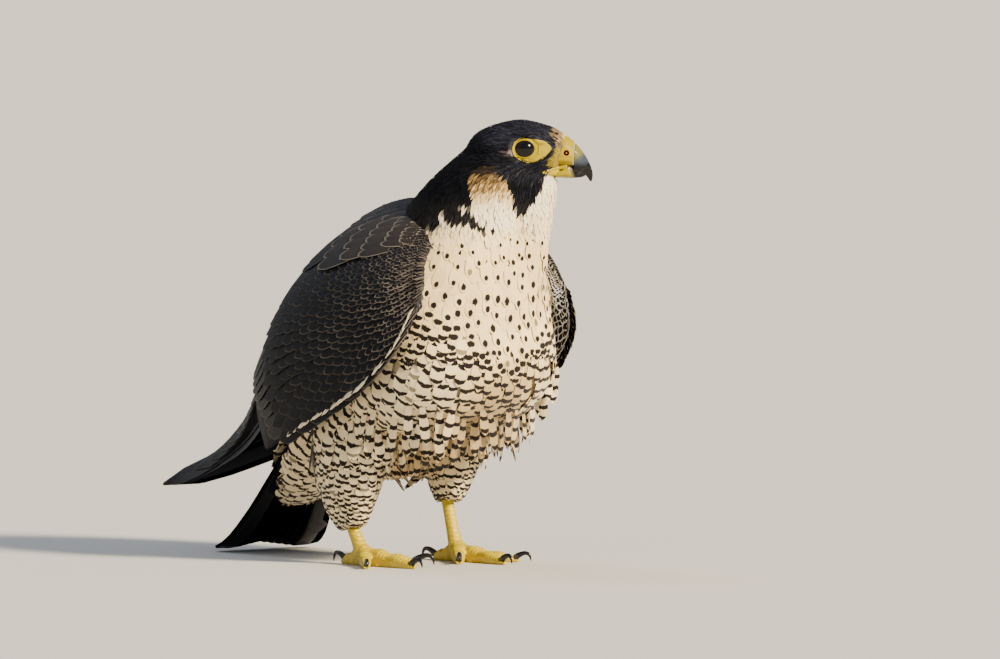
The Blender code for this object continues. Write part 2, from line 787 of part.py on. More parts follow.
def covert_rows(side):
    """Greater, median and lesser coverts, each row lapping over the next."""
    rows = ((0.22, 0.42, 9, 17.0), (0.13, 0.285, 8, 17.5), (0.05, 0.19, 6, 18.0))
    vanes = []
    for index, (s_root, s_tip, count, width) in enumerate(rows):
        spread = 0.82 / (count - 0.5)
        for order in range(count):
            t = 0.06 + spread * (order + 0.5 * (index % 2))
            if t < COVERT_TOP:
                start, end = (s_root, t), (s_tip, t)
                vanes.append(sheet_vane(side, start, end, COVERT_LIFTS, width, CONTOUR_ROWS, LAP / spread))
    return vanes


def scapular_vanes(side):
    """Shoulder feathers laid over the top of the wing."""
    rows = ((0.18, 0.375, 3, 20.0), (0.07, 0.26, 3, 19.0))
    vanes = []
    for s_root, s_tip, count, width in rows:
        spread = 0.24 / (count - 1)
        for order in range(count):
            start = (s_root, 0.72 + spread * 0.85 * order)
            end = (s_tip + 0.01 * order, 0.68 + spread * order)
            vanes.append(sheet_vane(side, start, end, SCAPULAR_LIFTS, width, CONTOUR_ROWS, LAP / spread))
    return vanes


def make_wing(side):
    """A folded wing: the core with every tier of feathers fused to it by their roots."""
    wing = wing_core(side)
    vanes = primary_vanes(side) + secondary_vanes(side) + covert_rows(side) + scapular_vanes(side)
    return join_all(wing, vanes)


# The tail's middle line from the rump to the floor: (x, y, z).
TAIL_LINE = [(-70, 0, 108), (-92, 0, 82), (-113, 3, 56), (-134, 8, 32), (-156, 14, 13.6), (-177, 19, 5.2)]


def tail_point(share, across, lift):
    """Point and normal of the tail's fan, so far along it and so far to the left of its middle."""
    here = Vector(spline_at(TAIL_LINE, share))
    along = Vector(spline_at(TAIL_LINE, share + 0.03)) - Vector(spline_at(TAIL_LINE, share - 0.03))
    side = UP.cross(along).normalized() * -1
    normal = along.cross(side).normalized()
    if normal.z < 0:
        normal = -normal
    arch = -0.006 * across * across * (1 - share)
    return here + LEFT * across + normal * (lift + arch), normal


def tail_vane(order):
    """The vane at order, from -1, the right edge, to 1, the left, lower towards the edges."""
    layer = abs(order) * (TAIL_FEATHERS - 1) / 2 - 0.5
    lift = -TAIL_STEP * (layer + (0.5 if order > 0 else 0.0))
    rows = []
    for index, share in enumerate(TAIL_OUTLINE):
        start = TAIL_ROOT + 0.04
        along = start + (1 - start - 0.03 * order * order) * index / (len(TAIL_OUTLINE) - 1)
        middle = order * (10.0 + 21.0 * along)
        row = []
        for step in (-1, 0, 1):
            notch = TAIL_NOTCH if step == 0 and index == len(TAIL_OUTLINE) - 1 else 0.0
            row.append(tail_point(along + notch, middle + step * share * TAIL_VANE_WIDTH / 2, lift))
        rows.append(row)
    return vane(rows)


def tail_slot():
    """The room between upper and lower tail coverts that the tail fills, to cut from the body."""
    rings = []
    reach, over = TAIL_ROOM
    steps = [reach * step / 4 for step in range(-4, 5)]
    outline = [(across, -TAIL_DEPTH) for across in steps] + [(across, over) for across in reversed(steps)]
    for step in range(9):
        share = TAIL_ROOT + (1.0 - TAIL_ROOT) * step / 8
        rings.append([tail_point(share, across, lift)[0] for across, lift in outline])
    return loft("tail_slot", rings)


# The solid root of the tail: how far along it, its half width and its reach over and under the fan.
TAIL_STUMP = ((0.0, 15, 0.6, 5.5), (0.1, 16, 0.6, 5.5), (0.2, 17, 0.6, 5.5), (0.34, 17, 0.5, 5))


def make_tail():
    """Twelve tail feathers, the middle pair on top, fused in a root between the coverts."""
    rings = []
    for share, half_width, above, below in TAIL_STUMP:
        point, normal = tail_point(TAIL_ROOT + 3 * GAP / TAIL_LENGTH + share, 0.0, 0.0)
        rings.append(oval_ring(point, LEFT, normal, half_width, above, below, 12, 3.0))
    tail = loft("tail", rings, slate_feather())
    orders = [(2 * index + 1 - TAIL_FEATHERS) / (TAIL_FEATHERS - 1) for index in range(TAIL_FEATHERS)]
    join_all(tail, [tail_vane(order) for order in orders])
    return tail


# Each leg's feathered part from the belly down to the heel: (x, y offset, z, half width, front, back).
TROUSERS = {
    "right": [(-10, 7, 112, 15, 26, 24), (-12, 1, 92, 20, 30, 28), (-15, -2, 70, 18, 29, 28),
              (-16, -2, 50, 15.5, 26, 26), (-16, -1, 34, 11, 18, 19), (-14, 0, 22, 6.5, 10.5, 12)],
    "left": [(-8, -7, 112, 15, 26, 24), (-9, -1, 94, 19, 29, 27), (-10, 2, 76, 17, 26, 26),
             (-11, 2, 60, 14, 22, 23), (-11, 1, 46, 10, 15, 17), (-10, 0, 36, 6.5, 9.5, 11)],
}
# Each bare shank from inside the feathers to the foot: (x, y offset, z, half width, front, back).
SHANKS = {
    "right": [(-24, 0, 40, 4.2, 4.6, 5.4), (-18, 0, 28, 3.7, 3.9, 4.4),
              (-10, 0, 15, 3.9, 4.0, 4.4), (-5, 0, 6.5, 5.2, 5.4, 5.6)],
    "left": [(-18, 0, 56, 4.2, 4.6, 5.4), (-13, 0, 38, 3.6, 3.8, 4.3),
             (-7, 0, 17, 3.8, 4.0, 4.4), (-3, 0, 6.5, 5.2, 5.4, 5.6)],
}
# Each toe: its angle from straight ahead on the inner side, its share of the middle toe and its thickness.
TOES = {
    "middle": (2.0, 1.0, 4.4),
    "inner": (38.0, 0.72, 4.6),
    "outer": (-36.0, 0.82, 4.0),
    "hind": (176.0, 0.48, 4.4),
}
# The swell of each pad and joint from the ball of the foot to the claw.
TOE_PADS = (1.0, 0.86, 1.08, 0.84, 1.02, 0.8, 0.6)
CLAW_SHARE = {"middle": 0.92, "inner": 1.15, "outer": 0.92, "hind": 1.15}


def leg_stations(table, side):
    """A leg's table with its offsets made into places across the bird."""
    return [(x, FOOT_SIDE[side] + y, *rest) for x, y, *rest in table[side]]


def toe_line(side, toe):
    """The foot of one toe and its direction along the floor."""
    angle, length, thick = TOES[toe]
    inward = -SIDES[side]
    heading = math.radians(angle) * inward
    direction = Vector((math.cos(heading), math.sin(heading), 0.0))
    start = Vector((SHANKS[side][-1][0] + 1.0, FOOT_SIDE[side], 0.0))
    return start, direction, MIDDLE_TOE * length, thick


def make_toe(side, toe, sole):
    """A toe with swollen pads and a flat sole so far under the floor, where the foot is trimmed level."""
    start, direction, length, thick = toe_line(side, toe)
    across = UP.cross(direction)
    rings = []
    for index, swell in enumerate(TOE_PADS):
        share = index / (len(TOE_PADS) - 1)
        radius = thick * swell * (1 - 0.22 * share)
        rise = 5.4 * (1 - share) ** 2 + radius * 0.82
        centre = start + direction * length * share + UP * rise
        ring = oval_ring(centre, across, UP, radius, radius * 0.92, rise * 1.36, 8, 2.3)
        rings.append([Vector((p.x, p.y, max(p.z, -sole))) for p in ring])
    return loft("toe", rings, yellow_skin())


def make_claw(side, toe):
    """A curved claw whose point ends just over the floor."""
    start, direction, length, thick = toe_line(side, toe)
    across = UP.cross(direction)
    root = start + direction * (length - 3.0) + UP * (thick * 0.62)
    reach = CLAW_LENGTH * CLAW_SHARE[toe]
    base = thick * 0.56
    rings = []
    rows = 7
    for row in range(rows):
        share = row / (rows - 1)
        bend = math.radians(30 - CLAW_CURVE * share)
        ahead = reach * 0.67 * math.sin(share * math.pi * 0.5)
        height = reach * 0.30 * math.sin(share * math.pi * 0.72) - (root.z - 0.9 + reach * 0.231) * share**2.2
        radius = base * (1 - share) ** 0.75 + CLAW_POINT
        point = root + direction * ahead + UP * height
        heading = (direction * math.cos(bend) + UP * math.sin(bend)).normalized()
        rise = heading.cross(across) * -1
        rings.append(oval_ring(point, across, rise, radius * 0.82, radius, radius, 6))
    return loft(f"claw_{toe}_{side}", rings, dark_horn())


def make_leg(side, torso_clear):
    """Feathered trouser, bare shank, foot and claws, each cut clear of the next."""
    trouser = path_loft("trouser_" + side, leg_stations(TROUSERS, side), 14, 9, pale_feather(), power=2.2)
    cut(trouser, [torso_clear])
    shank = path_loft("shank_" + side, leg_stations(SHANKS, side), 8, 7, yellow_skin())
    toes = [make_toe(side, toe, 0.2 + 0.1 * index) for index, toe in enumerate(TOES)]
    foot = toes[0]
    foot.name = "foot_" + side
    join_all(foot, toes[1:])
    shank_clear = swollen(shank)
    under_floor = half_space("under_floor", Vector((0, 0, 0)), -UP)
    cut(trouser, [shank_clear])
    cut(foot, [under_floor, shank_clear])
    remove(shank_clear)
    remove(under_floor)
    for toe in TOES:
        claw = make_claw(side, toe)
        claw_clear = swollen(claw)
        cut(foot, [claw_clear])
        remove(claw_clear)
    return trouser


def tidy(made):
    """Triangulates, merges slivers and shades the node smooth over its soft edges."""
    shape = bmesh.new()
    shape.from_mesh(made.data)
    bmesh.ops.dissolve_degenerate(shape, dist=1e-6, edges=shape.edges)
    bmesh.ops.triangulate(shape, faces=shape.faces)
    shape.to_mesh(made.data)
    shape.free()
    made.data.set_sharp_from_angle(angle=math.radians(50))


def stand_on_origin():
    """Moves the bird so that the origin is the bottom centre of its bounding box."""
    nodes = [o for o in bpy.data.objects if o.type == "MESH" and not o.hide_render]
    corners = [v.co for o in nodes for v in o.data.vertices]
    low = [min(c[k] for c in corners) for k in range(3)]
    high = [max(c[k] for c in corners) for k in range(3)]
    shift = Matrix.Translation((-(low[0] + high[0]) / 2, -(low[1] + high[1]) / 2, -low[2]))
    for made in nodes:
        made.data.transform(shift)


def main():
    for old in list(bpy.data.objects):
        bpy.data.objects.remove(old)
    body = whole_body()
    slot = tail_slot()
    cut(body, [slot])
    remove(slot)
    make_head(body)
    between_planes(body, "neck", NECK_CUT, HEAD_CUT, slate_feather())
    torso = between_planes(body, "torso", None, NECK_CUT, pale_feather())
    remove(body)
    body_clear = swollen(torso)
    make_tail()
    for side in SIDES:
        make_leg(side, body_clear)
    neck_clear = swollen(bpy.data.objects["neck"])
    for side in SIDES:
        wing = make_wing(side)
        trouser_clear = swollen(bpy.data.objects["trouser_" + side])
        cut(wing, [body_clear, neck_clear, trouser_clear])
        remove(trouser_clear)
    remove(body_clear)
    remove(neck_clear)
    for made in [o for o in bpy.data.objects if o.type == "MESH"]:
        tidy(made)
    stand_on_origin()


if __name__ == "__main__":
    main()
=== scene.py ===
"""The looks of a life-size adult peregrine falcon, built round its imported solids.

The bird faces +X with its left side towards +Y, and its head is turned to its left. Tables of places are in
millimetres in the frame that the solids were drawn in, whose floor is z = 0 under the middle of the body,
and placed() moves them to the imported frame, in metres. The first two numbers of a ramp() are such places,
or shares of a length, between which something changes.
"""

import math

import bmesh
import bpy
import numpy as np
from mathutils import Matrix, Vector
from mathutils.bvhtree import BVHTree


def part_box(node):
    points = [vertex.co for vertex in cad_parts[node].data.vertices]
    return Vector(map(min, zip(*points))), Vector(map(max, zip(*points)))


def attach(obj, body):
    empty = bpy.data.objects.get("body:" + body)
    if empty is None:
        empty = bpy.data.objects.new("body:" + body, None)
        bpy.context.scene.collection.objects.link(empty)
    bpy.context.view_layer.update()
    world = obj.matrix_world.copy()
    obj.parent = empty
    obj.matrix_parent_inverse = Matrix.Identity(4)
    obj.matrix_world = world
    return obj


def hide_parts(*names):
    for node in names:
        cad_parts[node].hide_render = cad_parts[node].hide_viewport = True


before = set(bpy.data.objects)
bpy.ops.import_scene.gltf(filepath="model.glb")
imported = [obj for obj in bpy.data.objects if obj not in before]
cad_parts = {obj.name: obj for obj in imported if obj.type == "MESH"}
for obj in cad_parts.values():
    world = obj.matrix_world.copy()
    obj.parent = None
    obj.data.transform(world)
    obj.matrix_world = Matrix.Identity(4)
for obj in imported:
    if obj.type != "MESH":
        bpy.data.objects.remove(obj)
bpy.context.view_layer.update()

bl_info = {
    "name": "Peregrine falcon",
    "version": (1, 0, 0),
    "blender": (4, 5, 0),
    "location": "View3D > Sidebar > Falcon",
    "description": "Skin, plumage, bill, eyes and feet of a standing falcon",
    "category": "Object",
}

MM = 0.001
SIDES = {"right": -1.0, "left": 1.0}
BODY = "root"
BAKE_MAP = "OFBake"
# How wide a small feather's patch is on the bake map, as a share of the map.
PATCH = 0.003
# Marks on feathers in millimetres: half the length and half the width of a drop, the half thickness of a
# bar as a share of the bars' spacing, how much wider a bar reaches, and how many half thicknesses lie
# between two bars.
DROP_HALF = 2.4
DROP_REACH = 1.7
BAR_SHARE = 0.205
BAR_REACH = 4.7
DROP_PERIOD = 7.8
BAR_REPEAT = 5.3
# The centre of the right eye in the frame of the tables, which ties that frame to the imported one.
RIGHT_EYE = (92.975, 9.994)
HEAD_TURN = 51.0
HEAD_CENTRE = np.array([80.6, 19.5, 250.8])
# The camera looks from 51 degrees round from the bird's right side towards its front, and a little down.
# The middle of its frame lies this far to the right of the tables' origin and this high, in metres.
CAMERA_AZIMUTH = 51.0
CAMERA_RISE = 2.5
CAMERA_DISTANCE = 8.0
FRAME_WIDTH = 0.6
FRAME_MIDDLE = (0.051, 0.1407)
SENSOR_WIDTH = 36.0
# Fixed shades of small parts and lights, beside the colours that the settings hold. The shoulder's tan is a
# painted highlight. The shades of the eye ring's fold, the cere's lower part, the nostril's opening and the
# scutes' grooves are painted shade.
SHADES = {
    "forehead": "#a88c60", "lore": "#a08a24", "eye_spot": "#8a7a78", "shoulder": "#8d7866",
    "lining_rim": "#e6eaf2", "tail_bar": "#56524f", "ring_edge": "#a8923a", "ring_crease": "#4a3d14",
    "pupil": "#040303",
    "bill_base": "#77732a", "lower_bill_side": "#6d6440", "cere_shadow": "#8f7a1c", "nostril_rim": "#c87a08",
    "nostril": "#2a1605", "scute_groove": "#7d5a12", "sole": "#b39a45", "claw_root": "#4d4538",
    "sky": "#e3eaf5", "key_light": "#ffedcd", "rim_light": "#e8f0ff",
}
# The bare skin of the face is this share of the settings' yellow, which is that of the feet. It is painted
# darker than its own yellow because the full light falls on the face.
LIT_FACE_YELLOW = 0.52
LOWER_BILL_YELLOW = 0.46

_low, _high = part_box("eye_right")
SHIFT = np.array([(_low.x + _high.x) / 2 / MM - RIGHT_EYE[0], (_low.y + _high.y) / 2 / MM - RIGHT_EYE[1],
                  0.0])


# Colour and small mathematics


def linear(code):
    """A hex colour in sRGB as linear red, green and blue."""
    parts = [int(code[k : k + 2], 16) / 255 for k in (1, 3, 5)]
    return tuple(c / 12.92 if c <= 0.04045 else ((c + 0.055) / 1.055) ** 2.4 for c in parts)


def colour(name):
    """A colour by its name, from the fixed shades or the settings, as linear red, green and blue."""
    if name in SHADES:
        return np.array(linear(SHADES[name]))
    return np.array(getattr(bpy.context.scene.falcon_colours, name)[:3])


def ramp(low, high, value):
    """A smooth step from 0 at low to 1 at high."""
    share = np.clip((np.asarray(value, float) - low) / (high - low), 0.0, 1.0)
    return share * share * (3 - 2 * share)


def blend(first, second, share):
    """Colours or vectors mixed by a share for each row."""
    share = np.asarray(share)[..., None]
    return np.asarray(first) * (1 - share) + np.asarray(second) * share


def mix(first, second, share):
    """Numbers mixed by a share for each."""
    return first + (second - first) * share


def unit(vectors):
    """Vectors of length 1 the same way."""
    return vectors / np.maximum(np.linalg.norm(vectors, axis=-1, keepdims=True), 1e-9)


def curve(table, place):
    """Points of a smooth curve through a table's rows, at places from 0 to 1, and straight on past them."""
    table = np.asarray(table, float)
    last = len(table) - 1
    place = np.asarray(place, float)
    inside = np.clip(place, 0.0, 1.0)
    at = inside * last
    index = np.minimum(at.astype(int), last - 1)
    t = (at - index)[..., None]
    a, b, c, d = (table[np.clip(index + k, 0, last)] for k in (-1, 0, 1, 2))
    found = 0.5 * (2 * b + (c - a) * t + (2 * a - 5 * b + 4 * c - d) * t**2 + (3 * b - a - 3 * c + d) * t**3)
    slope = np.where(place[..., None] < 0, table[1] - table[0], table[-1] - table[-2]) * last
    return found + slope * (place - inside)[..., None]


def in_head(points):
    """Points of the tables' frame as the head sees them: +X to the bill, +Y to its left."""
    angle = math.radians(HEAD_TURN)
    away = np.asarray(points, float) - HEAD_CENTRE
    x = away[..., 0] * math.cos(angle) + away[..., 1] * math.sin(angle)
    y = away[..., 1] * math.cos(angle) - away[..., 0] * math.sin(angle)
    return np.stack([x, y, away[..., 2]], axis=-1)


def from_head(points):
    """Points of the head's own frame in the tables' frame."""
    angle = math.radians(HEAD_TURN)
    points = np.asarray(points, float)
    x = points[..., 0] * math.cos(angle) - points[..., 1] * math.sin(angle)
    y = points[..., 0] * math.sin(angle) + points[..., 1] * math.cos(angle)
    return np.stack([x, y, points[..., 2]], axis=-1) + HEAD_CENTRE


def placed(points):
    """Points of the tables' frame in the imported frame, in metres."""
    return (np.asarray(points, float) + SHIFT) * MM


def drawn(points):
    """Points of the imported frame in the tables' frame, in millimetres."""
    return np.asarray(points, float) / MM - SHIFT


def depth_inside(outline, x, z):
    """How far each (x, z) lies inside a closed outline, negative outside."""
    corners = np.asarray(outline, float)
    shape = np.shape(x)
    px, pz = np.ravel(x), np.ravel(z)
    nearest = np.full(px.shape, 1e9)
    inside = np.zeros(px.shape, bool)
    for (ax, az), (bx, bz) in zip(corners, np.roll(corners, -1, axis=0)):
        dx, dz = bx - ax, bz - az
        t = np.clip(((px - ax) * dx + (pz - az) * dz) / (dx * dx + dz * dz), 0, 1)
        nearest = np.minimum(nearest, np.hypot(px - ax - t * dx, pz - az - t * dz))
        crosses = (az > pz) != (bz > pz)
        inside ^= crosses & (px < ax + (pz - az) * dx / (dz if dz else 1e-9))
    return np.where(inside, nearest, -nearest).reshape(shape)


# Materials


def add(tree, kind, inputs=(), out=0, **settings):
    """Adds a node with its settings and inputs, each a value or a socket to link, and returns an output."""
    made = tree.nodes.new("ShaderNode" + kind)
    for key, value in settings.items():
        setattr(made, key, value)
    for key, value in dict(inputs).items():
        if isinstance(value, bpy.types.NodeSocket):
            tree.links.new(value, made.inputs[key])
        else:
            made.inputs[key].default_value = value
    return made.outputs[out]


def new_material(name):
    """A named material with an empty Principled shader, its tree and that shader."""
    made = bpy.data.materials.new(name)
    made.use_nodes = True
    tree = made.node_tree
    return made, tree, tree.nodes["Principled BSDF"]


def plumage_material(name, mark_colour, roughness, sheen, fringe, barb=0.16, specular=0.25):
    """Contour feathers: soft keratin barbs, matt with a little sheen, marked across each feather.

    Each vertex carries how far it lies from the first mark in half thicknesses of a mark, how far from the
    shaft in reaches of a mark, how far from the edge in millimetres and where among the barbs, so that
    marks stay sharp.
    """
    made, tree, shader = new_material(name)
    vane = add(tree, "Attribute", out="Color", attribute_name="vane")
    barbs = add(tree, "Attribute", out="Alpha", attribute_name="vane")
    mark = add(tree, "Attribute", out="Color", attribute_name="mark")
    chance = add(tree, "Attribute", out="Alpha", attribute_name="mark")
    tint = add(tree, "Attribute", out="Color", attribute_name="tint")
    place = add(tree, "TexCoord", out="Object")
    split = add(tree, "SeparateColor", {0: vane}).node
    marks = add(tree, "SeparateColor", {0: mark}).node
    # The edge of a mark is ragged by about 1 mm, as each barb ends its dark part on its own. A scale of 700
    # to the metre is a grain of 1.4 mm.
    ragged = add(tree, "TexNoise", {"Vector": place, "Scale": 700.0, "Detail": 2.0})
    wobble = add(tree, "Math", {0: ragged, 1: 0.9, 2: -0.45}, operation="MULTIPLY_ADD")
    along = add(tree, "Math", {0: split.outputs[0], 1: wobble}, operation="ADD")
    repeated = add(tree, "Math", {0: along, 1: BAR_REPEAT / 2}, operation="PINGPONG")
    oval = add(tree, "CombineXYZ", {0: repeated, 1: split.outputs[1]})
    away = add(tree, "VectorMath", {0: oval}, out="Value", operation="LENGTH")
    dark = add(tree, "MapRange", {0: away, 1: 0.78, 2: 1.12, 3: 1.0, 4: 0.0},
               interpolation_type="SMOOTHSTEP")
    shown = add(tree, "Math", {0: dark, 1: marks.outputs[1]}, operation="MULTIPLY")
    marked = add(tree, "Mix", {0: shown, 6: tint, 7: (*mark_colour, 1.0)}, out=2, data_type="RGBA")
    # The worn pale fringe is about 0.7 mm wide.
    rim = add(tree, "MapRange", {0: split.outputs[2], 1: 0.3, 2: 0.95, 3: 1.0, 4: 0.0},
              interpolation_type="SMOOTHSTEP")
    edge = add(tree, "Math", {0: rim, 1: marks.outputs[2]}, operation="MULTIPLY")
    fringed = add(tree, "Mix", {0: edge, 6: marked, 7: (*fringe, 1.0)}, out=2, data_type="RGBA")
    # Real barbs are about 0.2 mm apart, too fine to show, so these are 0.8 mm.
    wave = add(tree, "Math", {0: barbs, 1: 2 * math.pi / 0.8}, operation="MULTIPLY")
    comb = add(tree, "Math", {0: wave}, operation="SINE")
    streak = add(tree, "Math", {0: comb, 1: barb / 2, 2: 0.9}, operation="MULTIPLY_ADD")
    # Down shows through and dirties the coat in soft clouds about 15 mm across, or 65 to the metre.
    cloud = add(tree, "TexNoise", {"Vector": place, "Scale": 65.0, "Detail": 3.0})
    clouded = add(tree, "Math", {0: cloud, 1: 0.3, 2: -0.15}, operation="MULTIPLY_ADD")
    varied = add(tree, "Math", {0: streak, 1: clouded}, operation="ADD")
    level = add(tree, "Math", {0: chance, 1: 0.12, 2: varied}, operation="MULTIPLY_ADD")
    shade = add(tree, "CombineColor", {0: level, 1: level, 2: level})
    final = add(tree, "Mix", {0: 1.0, 6: fringed, 7: shade}, out=2, data_type="RGBA", blend_type="MULTIPLY")
    tree.links.new(final, shader.inputs["Base Color"])
    bump = add(tree, "Bump", {"Height": comb, "Strength": 0.3, "Distance": 0.00012})
    tree.links.new(bump, shader.inputs["Normal"])
    shader.inputs["Roughness"].default_value = roughness
    shader.inputs["Sheen Weight"].default_value = sheen
    shader.inputs["Sheen Roughness"].default_value = 0.45
    shader.inputs["Specular IOR Level"].default_value = specular
    return made


def tinted_material(name, roughness, coat=0.0, pores=0.0, pore_size=0.7, subsurface=0.0, specular=0.5):
    """Bare parts: colour from the piece's own tint, with fine relief whose grain is pore_size in
    millimetres.

    Soft blotches about 4 mm across, or 260 to the metre, vary colour and gloss. Light enters the skin by
    1.2 mm in red, and by less in green and blue.
    """
    made, tree, shader = new_material(name)
    tint = add(tree, "Attribute", out="Color", attribute_name="tint")
    place = add(tree, "TexCoord", out="Object")
    grains = add(tree, "TexVoronoi", {"Vector": place, "Scale": 1.0 / (pore_size * MM)}, out="Distance")
    cloud = add(tree, "TexNoise", {"Vector": place, "Scale": 260.0, "Detail": 5.0})
    clouded = add(tree, "Math", {0: cloud, 1: 0.4, 2: 0.8}, operation="MULTIPLY_ADD")
    level = add(tree, "Math", {0: grains, 1: -0.35 * pores, 2: clouded}, operation="MULTIPLY_ADD")
    shade = add(tree, "CombineColor", {0: level, 1: level, 2: level})
    final = add(tree, "Mix", {0: 1.0, 6: tint, 7: shade}, out=2, data_type="RGBA", blend_type="MULTIPLY")
    tree.links.new(final, shader.inputs["Base Color"])
    small = add(tree, "Math", {0: cloud, 1: 0.25}, operation="MULTIPLY")
    height = add(tree, "Math", {0: grains, 1: -pores, 2: small}, operation="MULTIPLY_ADD")
    bump = add(tree, "Bump", {"Height": height, "Strength": 0.6, "Distance": 0.0003})
    tree.links.new(bump, shader.inputs["Normal"])
    rough = add(tree, "Math", {0: cloud, 1: 0.16, 2: roughness - 0.08}, operation="MULTIPLY_ADD")
    tree.links.new(rough, shader.inputs["Roughness"])
    shader.inputs["Coat Weight"].default_value = coat
    shader.inputs["Coat Roughness"].default_value = 0.12
    shader.inputs["Specular IOR Level"].default_value = specular
    shader.inputs["Subsurface Weight"].default_value = subsurface
    shader.inputs["Subsurface Radius"].default_value = (0.0012, 0.0006, 0.0002)
    return made


# Meshes


def dress(made, material, node_names=()):
    """Gives a finished piece its material and its body, and hides the CAD nodes that it stands for."""
    made.data.materials.clear()
    made.data.materials.append(bpy.data.materials[material])
    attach(made, BODY)
    if node_names:
        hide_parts(*node_names)
    return made


def new_object(name, mesh):
    """A new object of the scene with a mesh of its own."""
    made = bpy.data.objects.new(name, mesh)
    bpy.context.scene.collection.objects.link(made)
    return made


def shade_smooth(made):
    """Shades every face of a piece smooth."""
    made.data.polygons.foreach_set("use_smooth", [True] * len(made.data.polygons))
    made.data.update()


def mesh_piece(name, points, faces):
    """A smooth closed piece from points in the tables' frame and lists of corners, facing outwards."""
    mesh = bpy.data.meshes.new(name)
    mesh.from_pydata(placed(points).tolist(), [], faces)
    made = new_object(name, mesh)
    shade_smooth(made)
    shape = bmesh.new()
    shape.from_mesh(mesh)
    bmesh.ops.recalc_face_normals(shape, faces=shape.faces)
    if shape.calc_volume(signed=True) < 0:
        bmesh.ops.reverse_faces(shape, faces=shape.faces)
    shape.to_mesh(mesh)
    shape.free()
    return made


def read(items, key, width, kind=float):
    """One value of all vertices, corners or triangles of a mesh, as rows of a table."""
    flat = np.empty(len(items) * width, kind)
    items.foreach_get(key, flat)
    return flat.reshape(-1, width)


def corners_of(mesh):
    """The vertices of a mesh in the tables' frame."""
    return drawn(read(mesh.vertices, "co", 3))


def move_to(mesh, points):
    """Moves the vertices of a mesh to points of the tables' frame."""
    mesh.vertices.foreach_set("co", placed(points).ravel())
    mesh.update()


def store(mesh, name, values):
    """Stores four values for each vertex under a name that a material reads."""
    layer = mesh.attributes.get(name) or mesh.attributes.new(name, "FLOAT_COLOR", "POINT")
    layer.data.foreach_set("color", np.ascontiguousarray(values, np.float32).ravel())


def with_alpha(colours):
    """Colours with a fourth value of 1."""
    return np.concatenate([colours, np.ones(colours.shape[:-1] + (1,))], axis=-1)


def paint(made, tint):
    """Gives a piece its tint, as one colour or one for each vertex."""
    store(made.data, "tint", with_alpha(np.broadcast_to(tint, (len(made.data.vertices), 3))))


def choose_only(made):
    """Selects one object alone and makes it active."""
    bpy.ops.object.select_all(action="DESELECT")
    made.select_set(True)
    bpy.context.view_layer.objects.active = made


def apply_modifier(made, kind, **settings):
    """Adds a modifier with its settings and applies it."""
    choose_only(made)
    modifier = made.modifiers.new(kind.lower(), kind)
    for key, value in settings.items():
        setattr(modifier, key, value)
    bpy.ops.object.modifier_apply(modifier=modifier.name)


def copy_of(name, node_names):
    """One merged copy of the meshes of CAD nodes, as a new object."""
    shape = bmesh.new()
    for node_name in node_names:
        shape.from_mesh(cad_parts[node_name].data)
    bmesh.ops.remove_doubles(shape, verts=shape.verts, dist=1e-6)
    mesh = bpy.data.meshes.new(name)
    shape.to_mesh(mesh)
    shape.free()
    return new_object(name, mesh)


def remeshed(name, node_names, voxel, smooth):
    """A fine, even copy of CAD nodes, with voxels in millimetres and a number of rounds of smoothing."""
    made = copy_of(name, node_names)
    apply_modifier(made, "REMESH", mode="VOXEL", voxel_size=voxel * MM, use_smooth_shade=True)
    apply_modifier(made, "SMOOTH", factor=0.5, iterations=smooth)
    return made


def vane_faces(rows, columns):
    """The corners of one vane's quads, above and below, and of the caps that close its root and tip."""

    def at(row, column):
        return row * (columns + 1) + column

    quads = []
    for r in range(rows - 1):
        quads += [(at(r, c), at(r + 1, c), at(r + 1, c + 1), at(r, c + 1)) for c in range(columns - 1)]
    for r in range(rows - 1):
        quads.append((at(r, 0), at(r, columns), at(r + 1, columns), at(r + 1, 0)))
        quads.append((at(r, columns), at(r, columns - 1), at(r + 1, columns - 1), at(r + 1, columns)))
    root = [at(0, c) for c in range(columns + 1)]
    tip = [at(rows - 1, c) for c in range(columns, -1, -1)]
    return np.array(quads), np.array([root, tip])


